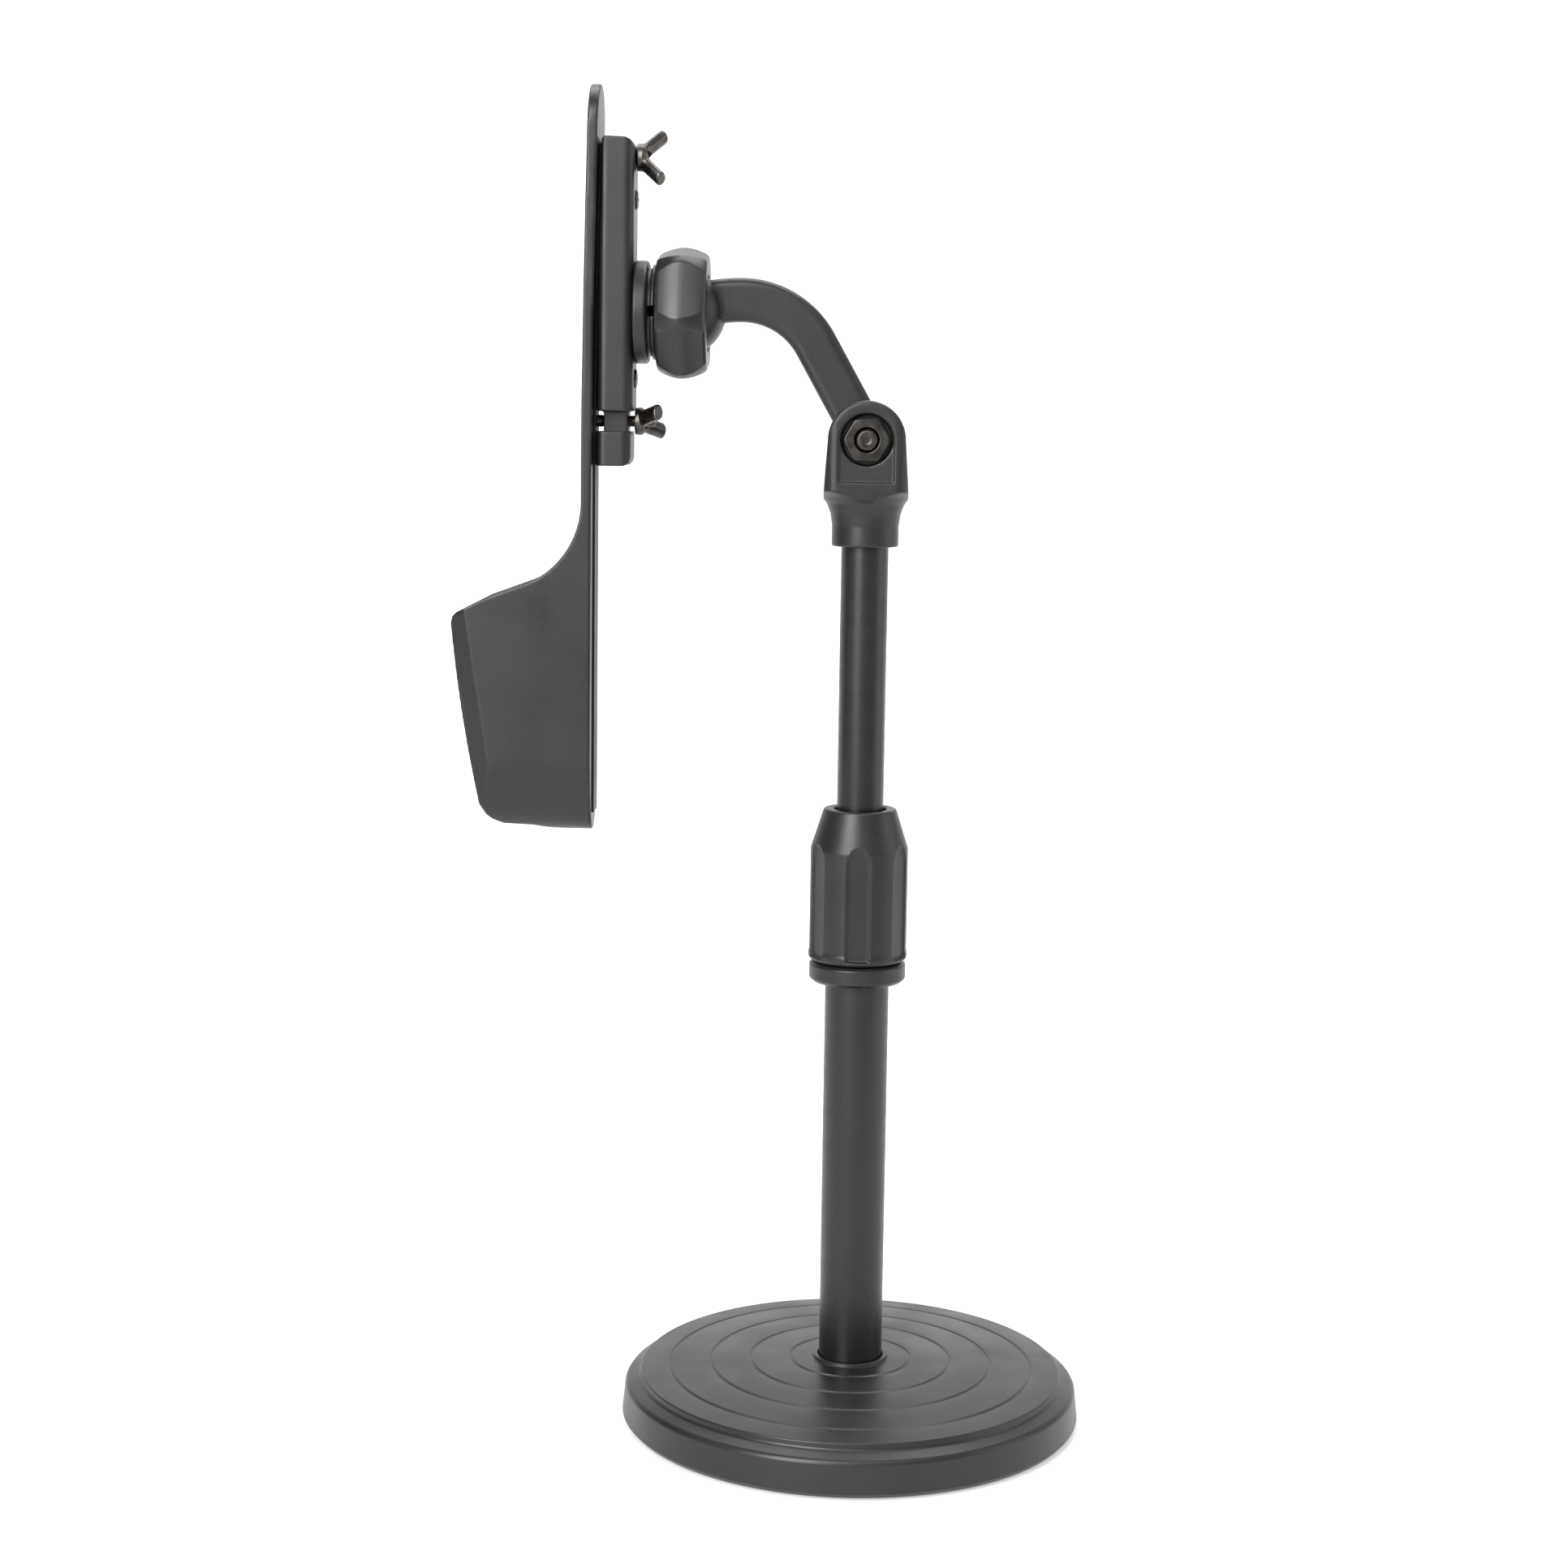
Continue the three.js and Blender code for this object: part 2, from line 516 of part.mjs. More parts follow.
function bracketScrew(z) {
  const seat = BRACKET_BACK_X + 0.1;
  const head = revolve([[0, seat], [3.3, seat], [3.3, seat + 0.3], [2.7, seat + 0.7], [0, seat + 0.8]], 24);
  return alongX(fromManifold(union(head, rod(1.6, -87, seat + 0.2, 16))), z);
}
for (const [level, z] of Object.entries(SCREW_Z)) {
  piece(`bracket_screw_${level}`, bracketScrew(z), FINISH.fastener);
}

function lowerJaw() {
  const [low, high] = JAW_Z;
  const corner = 2.5;
  const side = outline([[-100, high + 1], [-100, low], [JAW_BACK_X - corner, low],
    [JAW_BACK_X - 0.7, low + 0.7], [JAW_BACK_X, low + corner], [JAW_BACK_X + 1, high + 1]]);
  const channel = box(TONGUE.x0 - GAP, TONGUE.x1 + GAP, -TONGUE.halfY - GAP, TONGUE.halfY + GAP, 320, 350);
  return fromManifold(cut(roundedBar(side, JAW_BACK_X, low, high), channel));
}
piece('lower_jaw', lowerJaw(), FINISH.joint);

// countersunk bolt from the holder's front face, or its seat when spare is the clearance round it
function boltProfile(z, endX, spare) {
  const face = PLATE_FRONT_X + bow(z);
  const start = face + 0.2 - 5 * spare;
  const headR = 4.1 + spare;
  const r = M4_R + spare;
  return [[0, start], [headR, start], [headR, face + 0.6], [r, face + 2.7], [r, endX - 0.6],
    [r - 0.6, endX], [0, endX]];
}
for (const [level, z] of Object.entries(BOLT_Z)) {
  piece(`bolt_${level}`, alongX(revolve(boltProfile(z, BOLT_END_X[level], 0), 24), z), FINISH.fastener);
}

// wing nut about X with its wings at the given angle from the -Y direction
function wingNut(z, turn) {
  const [low, high] = WING_HUB_X;
  const hub = revolve([[0, low], [4.5, low], [4.6, low + 0.8], [3.7, high], [0, high]], 20);
  const wings = [1, -1].map((side) => {
    const section = new THREE.Shape();
    section.absellipse(0, 0, 1.6, 2.7, 0, 2 * Math.PI);
    const extrudePath = new THREE.LineCurve3(
      new THREE.Vector3(0, side * 2.2, low + 2.4), new THREE.Vector3(0, side * WING_REACH, low + 8.6));
    const options = { extrudePath, steps: 1, bevelEnabled: false, curveSegments: 5 };
    return new THREE.ExtrudeGeometry(section, options);
  });
  const nut = cut(union(hub, ...wings), rod(M4_R + 0.25, low - 1, high + 10, 16));
  return alongX(fromManifold(nut).rotateZ(turn), z);
}
for (const [level, z] of Object.entries(BOLT_Z)) {
  piece(`wing_nut_${level}`, wingNut(z, WING_TURN[level]), FINISH.fastener);
}

// ---- holder: a bowed back plate with an upright cup at its foot ----
// side outline from the plate's lower back edge, round the cup, up the front and down the bowed back
function holderSide() {
  const shape = new THREE.Shape();
  const [foot, top] = PLATE_Z;
  const bulgeX = (CUP.frontFoot[0] + CUP.frontTop[0]) / 2 - 2 * CUP.frontBulge;
  const bulgeZ = (CUP.frontFoot[1] + CUP.frontTop[1]) / 2;
  const bowStep = 17.5;
  shape.moveTo(plateBackX(foot), foot);
  shape.lineTo(-106, foot + 0.3);
  shape.lineTo(-112, foot + 1.5);
  shape.lineTo(-122, foot + 2);
  shape.lineTo(-125.6, foot + 3.6);
  shape.lineTo(-127.6, foot + 5.3);
  shape.lineTo(...CUP.frontFoot);
  shape.quadraticCurveTo(bulgeX, bulgeZ, ...CUP.frontTop);
  shape.lineTo(...CUP.rimCorner);
  shape.lineTo(...CUP.slopeMiddle);
  shape.lineTo(...CUP.slopeEnd);
  shape.absarc(PLATE_FRONT_X - CUP.filletR, CUP.filletZ, CUP.filletR, THREE.MathUtils.degToRad(-67.2), 0);
  for (let z = BOW_START_Z; z <= top; z += bowStep) shape.lineTo(PLATE_FRONT_X + bow(z), z);
  for (let z = top; z >= BOW_START_Z; z -= bowStep) shape.lineTo(plateBackX(z), z);
  return shape;
}

// the hollow's side outline, open at the rim
function hollowSide() {
  const floor = PLATE_Z[0] + 4;
  return outline([[PLATE_FRONT_X - 0.2, floor], [-124, floor], [-127.2, 216.5], [-133.2, 248], [-136.9, 276],
    [-138.9, 292], [-138.9, 340], [PLATE_FRONT_X - 0.2, 340]]);
}

// front outline: round top, straight sides and a deep rounded foot; inset shrinks it evenly
function holderFront(inset) {
  const half = PLATE_HALF_Y - inset;
  const shape = new THREE.Shape();
  shape.absarc(0, PLATE_Z[1] - PLATE_HALF_Y, half, 0, Math.PI);
  shape.absellipse(0, PLATE_Z[0] + CUP_BOTTOM_RISE, half, CUP_BOTTOM_RISE - inset, Math.PI, 2 * Math.PI);
  return shape;
}

// wedge that takes the cup's front vertical corner off, following the leaning front wall
function cornerWedge(side) {
  const { width, depth } = CUP_CORNER;
  const shape = outline([[-3, 1], [width, 1], [width, 0], [0, -depth], [-3, -depth]]);
  const lean = Math.atan2(CUP.frontFoot[0] - CUP.frontTop[0], CUP.frontTop[1] - CUP.frontFoot[1]);
  const wedge = slab('z', shape, -80, 40).rotateY(-lean);
  wedge.translate(CUP.frontTop[0], PLATE_HALF_Y, CUP.frontTop[1]);
  return side > 0 ? wedge : wedge.scale(1, -1, 1);
}

function holder() {
  const body = manifold(slab('y', holderSide(), -PLATE_HALF_Y, PLATE_HALF_Y, 0, 10))
    .intersect(manifold(slab('x', holderFront(0), -150, -80, 0, 10)));
  const hollow = manifold(slab('y', hollowSide(), -PLATE_HALF_Y + CUP_WALL, PLATE_HALF_Y - CUP_WALL))
    .intersect(manifold(slab('x', holderFront(CUP_WALL), -150, -80, 0, 8)));
  const seats = Object.values(BOLT_Z).map((z) => alongX(revolve(boltProfile(z, -80, GAP), 24), z));
  return fromManifold(cut(body.subtract(hollow), cornerWedge(1), cornerWedge(-1), ...seats));
}
piece('holder', holder(), FINISH.shell);

function rearPanel() {
  const levels = [PANEL.z0, BOW_START_Z, 355, 375, 395, 415, PANEL.z1];
  const near = levels.map((z) => [plateBackX(z) + PANEL.gap, z]);
  const far = levels.map((z) => [plateBackX(z) + PANEL.gap + PANEL.thick, z]).reverse();
  const strip = manifold(slab('y', outline([...near, ...far]), -PANEL.halfY, PANEL.halfY));
  const holes = Object.values(BOLT_Z).map((z) => alongX(rod(M4_R + GAP, -100, -80, 20), z));
  return fromManifold(cut(strip, ...holes));
}
piece('rear_panel', rearPanel(), FINISH.nylon);

export default stand;
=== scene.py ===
import json
import math

import bmesh
import bpy
from mathutils import Matrix, Vector


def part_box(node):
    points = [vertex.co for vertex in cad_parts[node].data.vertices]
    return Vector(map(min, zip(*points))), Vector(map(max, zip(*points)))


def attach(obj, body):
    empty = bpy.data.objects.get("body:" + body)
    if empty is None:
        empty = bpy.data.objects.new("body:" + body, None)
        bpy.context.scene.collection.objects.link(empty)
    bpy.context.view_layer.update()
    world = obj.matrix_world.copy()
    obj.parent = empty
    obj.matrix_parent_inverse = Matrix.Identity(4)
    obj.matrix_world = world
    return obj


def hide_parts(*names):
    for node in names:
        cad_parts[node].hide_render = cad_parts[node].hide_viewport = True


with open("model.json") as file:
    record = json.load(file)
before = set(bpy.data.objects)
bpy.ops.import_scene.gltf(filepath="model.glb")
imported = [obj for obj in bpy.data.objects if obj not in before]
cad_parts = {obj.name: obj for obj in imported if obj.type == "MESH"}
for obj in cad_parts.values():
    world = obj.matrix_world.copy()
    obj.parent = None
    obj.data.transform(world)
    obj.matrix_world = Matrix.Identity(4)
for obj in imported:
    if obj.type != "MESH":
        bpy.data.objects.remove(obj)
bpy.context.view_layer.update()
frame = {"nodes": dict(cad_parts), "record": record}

MM = 0.001


def corner(node, axis, side):
    """One face of a CAD node's box, in millimetres; side 0 is low and 1 is high."""
    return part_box(node)[side]["xyz".index(axis)] / MM


# ---- sizes, from the frame where its boxes give them ----
# base: a dome with round grooves inside an ogee edge
BASE_R = corner("base_cover", "x", 1)
EDGE_R = 73.5
EDGE_Z = 17.5
DOME_RISE = 4.0
GROOVES = (21, 35, 49, 63.5)
GROOVE_HALF = 0.8
GROOVE_DEPTH = 0.5
LIP_R = (11.4, 13)
LIP_RISE = 1.1
COVER_WALL = 2.4
PAD_TOP = 1.7
WEIGHT_R = 72
WEIGHT_Z = (2, 11.2)

# pole and twist collar
TUBE_R = corner("lower_tube", "x", 1)
TUBE_BORE_R = 9.8
TUBE_FOOT = 11.6
TUBE_TOP = corner("lower_tube", "z", 1)
PLUG_R = 9.5
MAST_R = corner("upper_tube", "x", 1)
MAST_BORE_R = 6.9
MAST_Z = (corner("upper_tube", "z", 0), corner("upper_tube", "z", 1))
RING_Z = (corner("lock_sleeve", "z", 0), 163.4)
SLEEVE_TOP = 184
COLLAR_Z = (corner("twist_collar", "z", 0), corner("twist_collar", "z", 1))
COLLAR_R = 16.75
SHOULDER_Z = 202.8
FLUTE_COUNT = 6
FLUTE_HALF = 4
FLUTE_Z = (165.6, 204.5)
FLUTE_ARCH = 6
FLUTE_DEPTH = 1.15

# clevis with its M8 bolt
FERRULE_Z = corner("yoke", "z", 0)
YOKE_X = corner("yoke", "x", 1)
YOKE_Y = corner("yoke", "y", 1)
EAR_R = 13
EAR_GAP_HALF = 6.9
EAR_PANEL_R = 9.3
EAR_PANEL_DEPTH = 0.6
PIVOT_Z = (corner("pivot_nut", "z", 0) + corner("pivot_nut", "z", 1)) / 2
PIVOT_R = 3.95
PIVOT_HOLE_R = 4.3
HEX_SEAT_R = 8.65
HEX_SEAT_Y = 9.8
HEX_SEAT_DEPTH = 5.2
HEX_THICK = 4.4
HEX_HALF = 6.75
HEX_CHAMFER = 0.55

# arm and ball joint
ARM_HALF_Y = 5.5
ARM_THICK = 14.6
ARM_LEAN = math.radians(29.5)
ARM_BEND_R = 28.3
ARM_TOP_Z = 387.5
ARM_DROOP = (60, math.radians(16))
ARM_STEPS = 96
ARM_EYE_R = 8.8
BALL = Vector((-62, 0, 383))
BALL_R = 14
NUT_X = (corner("ball_nut", "x", 0), corner("ball_nut", "x", 1))
BARREL_R = (22.8, 20.0)
FLAT_R = (20.5, 18.8)
FLAT_TURN = math.radians(20)
FLAT_BLEND = 0.03
NUT_RIM = 0.9
NUT_SEAM_HALF = 0.16
NUT_SEAM_DEPTH = 0.14
FLANGE_X = (-78.1, -73.7)
FLANGE_R = 17.1
SOCKET_R = 15.1
SLIT_HALF = 1.7
BALL_PAD_R = (14.3, 14.8)

# holder and rear panel
PLATE_FRONT = -95.2
PLATE_THICK = 3.5
PLATE_HALF_Y = corner("holder", "y", 1)
PLATE_Z = (corner("holder", "z", 0), corner("holder", "z", 1))
BOW_START = 335
BOW_TOP = 1.9
CUP_CORNER = (5.6, 3.4)
CUP_TOP = (-139.4, 278.6)
CUP_FOOT = (-129.9, 217)
CUP_WALL = 2.3
CUP_FLOOR = 4
CUP_NECK_R = 29.7
CUP_NECK_Z = 319.8
FOOT_RISE = 26
PANEL_Z = (214, 438)
PANEL_HALF_Y = 6
PANEL_BEHIND = (0.1, 0.7)

# bracket, jaw and fasteners
BRACKET_BACK = corner("bracket", "x", 1)
BRACKET_HALF_Y = corner("bracket", "y", 1)
BRACKET_Z = (350.1, corner("bracket", "z", 1))
TONGUE_X = (-88.4, -80.2)
TONGUE_HALF_Y = 5
JAW_BACK = corner("lower_jaw", "x", 1)
JAW_Z = (corner("lower_jaw", "z", 0), corner("lower_jaw", "z", 1))
SCREW_Z = {"upper": 420, "lower": 361}
BOLT_Z = {"top": 433.8, "bottom": 346.8}
BOLT_HOLE_R = 2.3
THREAD_LENGTH = {"top": 7.0, "bottom": 18.0}
CROSS_HALF = 0.45
WING_TURN = {"top": math.radians(51), "bottom": math.radians(-20)}
WING_ROOT = (1.6, 1.6)
WING_TIP = (9.8, 8.6)
WING_HALF = (2.8, 1.95)
GAP = 0.3

# voxel size in millimetres and smoothing passes of every piece that is remeshed for its soft edges
MOULD = {
    "twist_collar": (0.38, 4),
    "yoke": (0.33, 4),
    "pivot_nut": (0.14, 2),
    "pivot_bolt": (0.16, 2),
    "arm": (0.38, 5),
    "ball_nut": (0.28, 1),
    "socket": (0.3, 2),
    "bracket": (0.38, 5),
    "lower_jaw": (0.3, 4),
    "bolt_top": (0.13, 1),
    "bolt_bottom": (0.13, 1),
    "bracket_screw_upper": (0.13, 1),
    "bracket_screw_lower": (0.13, 1),
    "wing_nut_top": (0.16, 5),
    "wing_nut_bottom": (0.16, 5),
    "holder": (0.48, 5),
}


# ---- mesh helpers ----
def new_object(name, verts, faces):
    """A mesh object from points in millimetres, with its faces turned outwards."""
    mesh = bpy.data.meshes.new(name)
    mesh.from_pydata([Vector(v) * MM for v in verts], [], faces)
    bm = bmesh.new()
    bm.from_mesh(mesh)
    bmesh.ops.recalc_face_normals(bm, faces=bm.faces)
    bm.to_mesh(mesh)
    bm.free()
    obj = bpy.data.objects.new(name, mesh)
    bpy.context.scene.collection.objects.link(obj)
    return obj


def rounded(points, closed=True, steps=4):
    """Outline with arcs: a point is (a, b) or (a, b, radius)."""
    result = []
    count = len(points)
    for i, point in enumerate(points):
        here = Vector(point[:2])
        radius = point[2] if len(point) > 2 else 0
        if radius <= 0 or (not closed and i in (0, count - 1)):
            result.append(tuple(here))
            continue
        back = (Vector(points[i - 1][:2]) - here).normalized()
        ahead = (Vector(points[(i + 1) % count][:2]) - here).normalized()
        half = back.angle(ahead) / 2
        reach = radius / math.tan(half)
        centre = here + (back + ahead).normalized() * (radius / math.sin(half))
        start = here + back * reach - centre
        end = here + ahead * reach - centre
        for step in range(steps + 1):
            spoke = start.lerp(end, step / steps).normalized() * radius
            result.append(tuple(centre + spoke))
    return result


def lathe(name, points, segments=128, warp=None, steps=4):
    """Revolve (r, z, fillet) points about Z. A profile that touches the axis at both ends is closed by it."""
    on_axis = points[0][0] == 0
    profile = rounded(points, not on_axis, steps)
    verts = []
    rows = []
    for r, z in profile:
        if r < 1e-6:
            rows.append([len(verts)] * segments)
            verts.append((0, 0, z))
            continue
        rows.append(range(len(verts), len(verts) + segments))
        for j in range(segments):
            turn = 2 * math.pi * j / segments
            radius = warp(r, z, turn) if warp else r
            verts.append((radius * math.cos(turn), radius * math.sin(turn), z))
    faces = []
    for i in range(len(rows) - (1 if on_axis else 0)):
        near, far = rows[i], rows[(i + 1) % len(rows)]
        for j in range(segments):
            k = (j + 1) % segments
            loop = list(dict.fromkeys((near[j], near[k], far[k], far[j])))
            if len(loop) > 2:
                faces.append(loop)
    return new_object(name, verts, faces)


def prism(name, axis, outline, low, high):
    """Extrude an outline along an axis; its own axes are the other two, in X, Y, Z order."""
    place = {
        "x": lambda a, b, t: (t, a, b),
        "y": lambda a, b, t: (a, t, b),
        "z": lambda a, b, t: (a, b, t),
    }[axis]
    count = len(outline)
    verts = [place(a, b, t) for t in (low, high) for a, b in outline]
    faces = [list(range(count)), list(range(count, 2 * count))]
    for i in range(count):
        k = (i + 1) % count
        faces.append([i, k, count + k, count + i])
    return new_object(name, verts, faces)


def box(x0, x1, y0, y1, z0, z1):
    return prism("tool", "z", [(x0, y0), (x1, y0), (x1, y1), (x0, y1)], z0, z1)


def transform(obj, matrix):
    obj.data.transform(matrix)
    return obj


def along_x(obj, z, roll=0.0):
    """A body built about Z is turned so that its +Z runs along +X, at height z."""
    turn = Matrix.Rotation(math.pi / 2, 4, "Y") @ Matrix.Rotation(roll, 4, "Z")
    return transform(obj, Matrix.Translation((0, 0, z * MM)) @ turn)


def along_minus_y(obj, z):
    """The same for -Y."""
    turn = Matrix.Rotation(math.pi / 2, 4, "X")
    return transform(obj, Matrix.Translation((0, 0, z * MM)) @ turn)


def bake(obj):
    """Gives an object the mesh that its modifiers make of it."""
    graph = bpy.context.evaluated_depsgraph_get()
    mesh = bpy.data.meshes.new_from_object(obj.evaluated_get(graph))
    obj.modifiers.clear()
    obj.data = mesh
    return obj


def combine(base, operation, *tools):
    for tool in tools:
        step = base.modifiers.new("join", "BOOLEAN")
        step.operation = operation
        step.solver = "MANIFOLD"
        step.object = tool
        bake(base)
        bpy.data.objects.remove(tool)
    return base


def bevelled(obj, width, segments=4):
    step = obj.modifiers.new("bevel", "BEVEL")
    step.width = width * MM
    step.segments = segments
    step.limit_method = "ANGLE"
    step.angle_limit = math.radians(35)
    return bake(obj)


def moulded(obj, voxel, passes):
    """Even fine mesh with softly rounded edges, as a moulded or cast piece has."""
    grid = obj.modifiers.new("grid", "REMESH")
    grid.mode = "VOXEL"
    grid.voxel_size = voxel * MM
    relax = obj.modifiers.new("relax", "SMOOTH")
    relax.factor = 0.5
    relax.iterations = passes
    return bake(obj)


def hexagon(half_flats):
    reach = half_flats / math.cos(math.pi / 6)
    angles = [i * math.pi / 3 for i in range(6)]
    return [(reach * math.cos(a), reach * math.sin(a)) for a in angles]


def rounded_rect(half_x, half_y, r, steps=6):
    signs = ((1, 1), (-1, 1), (-1, -1), (1, -1))
    return rounded([(sx * half_x, sy * half_y, r) for sx, sy in signs], True, steps)


def rod(r, low, high):
    return lathe("tool", [(0, low), (r, low), (r, high), (0, high)], 64)


def thread(r, depth, pitch, low, high):
    """Profile points of a screw thread's ridges from low to high."""
    points = []
    count = int((high - low) / pitch)
    for i in range(count):
        start = low + i * pitch
        points += [(r - depth, start), (r - depth, start + 0.2 * pitch), (r, start + 0.5 * pitch),
                   (r, start + 0.7 * pitch)]
    return points


def arc_points(centre, radius, start, end, steps):
    angles = [math.radians(start + (end - start) * i / steps) for i in range(steps + 1)]
    return [(centre[0] + radius * math.cos(a), centre[1] + radius * math.sin(a)) for a in angles]


# ---- materials ----
class Nodes:
    """A small wrapper that adds shader nodes and links them."""

    def __init__(self, name):
        self.material = bpy.data.materials.new(name)
        self.material.use_nodes = True
        self.tree = self.material.node_tree
        self.shader = self.tree.nodes["Principled BSDF"]
        self.place = self.add("ShaderNodeTexCoord").outputs["Object"]

    def add(self, kind, **inputs):
        node = self.tree.nodes.new(kind)
        for key, value in inputs.items():
            self.feed(node.inputs[key], value)
        return node

    def feed(self, socket, value):
        if isinstance(value, bpy.types.NodeSocket):
            self.tree.links.new(value, socket)
        else:
            socket.default_value = value

    def noise(self, scale, detail=3.0, stretch=(1, 1, 1)):
        spread = self.add("ShaderNodeMapping", Vector=self.place, Scale=stretch)
        texture = self.add("ShaderNodeTexNoise", Vector=spread.outputs[0], Scale=scale, Detail=detail)
        return texture.outputs["Fac"]

    def ramp(self, value, low, high, out_low, out_high):
        """out_low where the value is low or less, out_high where it is high or more, even in between."""
        node = self.add("ShaderNodeMapRange", Value=value)
        for index, number in enumerate((low, high, out_low, out_high), 1):
            node.inputs[index].default_value = number
        return node.outputs[0]

    def mix(self, factor, first, second):
        node = self.add("ShaderNodeMix")
        node.data_type = "RGBA"
        self.feed(node.inputs[0], factor)
        self.feed(node.inputs[6], first)
        self.feed(node.inputs[7], second)
        return node.outputs[2]

    def math(self, operation, first, second):
        node = self.add("ShaderNodeMath")
        node.operation = operation
        self.feed(node.inputs[0], first)
        self.feed(node.inputs[1], second)
        return node.outputs[0]

    def edges(self, low, high):
        """1 on convex edges, 0 elsewhere."""
        sharp = self.add("ShaderNodeNewGeometry").outputs["Pointiness"]
        return self.ramp(sharp, low, high, 0.0, 1.0)

    def bump(self, height, distance, strength=1.0, normal=None):
        node = self.add("ShaderNodeBump", Height=height, Distance=distance * MM, Strength=strength)
        if normal is not None:
            self.feed(node.inputs["Normal"], normal)
        return node.outputs[0]

    def done(self, **inputs):
        """Feeds the shader's own sockets and hands over the material."""
        for key, value in inputs.items():
            self.feed(self.shader.inputs[key.replace("_", " ")], value)
        return self.material


def grey(level, warm=0.0):
    return (level * (1 + warm), level, level * (1 - warm), 1)


def moulded_plastic(name, level, rough, grain=0.012, edge_lightening=0.5, edge_band=(0.52, 0.6)):
    """Black moulded plastic: spark-eroded grain, cloudy gloss, faint flow streaks and lighter rubbed edges;
    on the ball nut the lighter edges are a painted highlight.
    """
    n = Nodes(name)
    cloud = n.noise(45.0, 4.0)
    speck = n.noise(1900.0, 3.0)
    streak = n.noise(60.0, 2.0, (1, 1, 0.12))
    tint = n.mix(n.ramp(cloud, 0.35, 0.65, 0.0, 1.0), grey(level * 0.86), grey(level * 1.12))
    tint = n.mix(n.ramp(speck, 0.58, 0.72, 0.0, 0.6), tint, grey(level * 2.4))
    # convex edges painted lighter: rubbed wear on most pieces, and a painted highlight along the ball nut's
    # edges
    lightened_edges = n.math("MULTIPLY", n.edges(*edge_band), n.ramp(n.noise(380.0), 0.4, 0.65, 0.25, edge_lightening))
    tint = n.mix(lightened_edges, tint, grey(level * 2.4 + 0.01))
    gloss = n.math("ADD", n.ramp(cloud, 0.3, 0.7, rough - 0.05, rough + 0.05),
                   n.ramp(streak, 0.35, 0.65, -0.02, 0.03))
    coarse = n.bump(n.noise(800.0, 2.0), grain * 3.5, 0.6)
    return n.done(Base_Color=tint, Roughness=gloss, Normal=n.bump(speck, grain * 2.5, 0.7, coarse))


def tube_paint(name, level, rough):
    """Powder paint on steel tube: fine orange peel, and faint rings where the tubes slide."""
    n = Nodes(name)
    cloud = n.noise(30.0, 3.0)
    rings = n.noise(240.0, 2.0, (0.02, 0.02, 1))
    tint = n.mix(n.ramp(cloud, 0.35, 0.65, 0.0, 1.0), grey(level * 0.85), grey(level * 1.15))
    tint = n.mix(n.ramp(rings, 0.6, 0.75, 0.0, 0.25), tint, grey(level * 1.8))
    gloss = n.math("ADD", n.ramp(cloud, 0.3, 0.7, rough - 0.04, rough + 0.05),
                   n.ramp(rings, 0.4, 0.7, -0.02, 0.05))
    peel = n.bump(n.noise(620.0, 2.0), 0.05, 0.7)
    return n.done(Base_Color=tint, Roughness=gloss, Normal=n.bump(n.noise(1900.0, 3.0), 0.03, 0.7, peel))


def plated_steel(name, level, rough):
    """Dark plated steel: cloudy plating, fine turning lines and brighter rubbed edges."""
    n = Nodes(name)
    warm = 0.08
    cloud = n.noise(260.0, 4.0)
    lines = n.noise(1500.0, 2.0, (1, 0.08, 1))
    tint = n.mix(n.ramp(cloud, 0.35, 0.68, 0.0, 1.0), grey(level * 0.7, warm), grey(level * 1.25, warm))
    lightened_edges = n.math("MULTIPLY", n.edges(0.51, 0.58), 0.7)
    tint = n.mix(lightened_edges, tint, grey(level * 2.6, warm))
    gloss = n.math("ADD", n.ramp(cloud, 0.3, 0.7, rough - 0.06, rough + 0.1),
                   n.ramp(lines, 0.4, 0.7, 0.0, 0.06))
    return n.done(Base_Color=tint, Metallic=1.0, Roughness=gloss, Normal=n.bump(lines, 0.006, 0.5))


def foam_rubber(name, level):
    """Soft foot rubber with fine open cells."""
    n = Nodes(name)
    cells = n.add("ShaderNodeTexVoronoi", Vector=n.place, Scale=1400.0).outputs["Distance"]
    tint = n.mix(n.ramp(n.noise(70.0), 0.35, 0.65, 0.0, 1.0), grey(level * 0.8), grey(level * 1.3))
    gloss = n.ramp(cells, 0.1, 0.8, 0.8, 0.95)
    return n.done(Base_Color=tint, Roughness=gloss, Normal=n.bump(cells, 0.05, 0.7))


def cast_iron(name, level):
    """Raw sand-cast iron, slightly brown."""
    n = Nodes(name)
    sand = n.noise(900.0, 4.0)
    tint = n.mix(n.ramp(n.noise(60.0, 4.0), 0.4, 0.65, 0.0, 1.0), grey(level, 0.05), grey(level * 1.5, 0.12))
    gloss = n.ramp(sand, 0.3, 0.7, 0.5, 0.75)
    return n.done(Base_Color=tint, Metallic=0.8, Roughness=gloss, Normal=n.bump(sand, 0.08))


MATERIALS = {
    "shell_plastic": moulded_plastic("shell_plastic", 0.009, 0.37),
    "joint_plastic": moulded_plastic("joint_plastic", 0.009, 0.40, grain=0.010),
    "tube_paint": tube_paint("tube_paint", 0.007, 0.34),
    "nylon": moulded_plastic("nylon", 0.010, 0.50, grain=0.006, edge_lightening=0.2),
    "rubber": foam_rubber("rubber", 0.012),
    "weight_iron": cast_iron("weight_iron", 0.14),
    "fastener_steel": plated_steel("fastener_steel", 0.09, 0.28),
}
# the M8 bolt is darker than the other fasteners, and the ball nut is glossier than the other joint pieces and
# has a painted highlight along its edges
DARK_STEEL = plated_steel("dark_steel", 0.06, 0.30)
NUT_PLASTIC = moulded_plastic("nut_plastic", 0.011, 0.34, grain=0.006, edge_lightening=0.9, edge_band=(0.505, 0.54))
BODY_OF = {node: body for body, nodes in frame["record"]["behaviour"]["bodies"].items() for node in nodes}


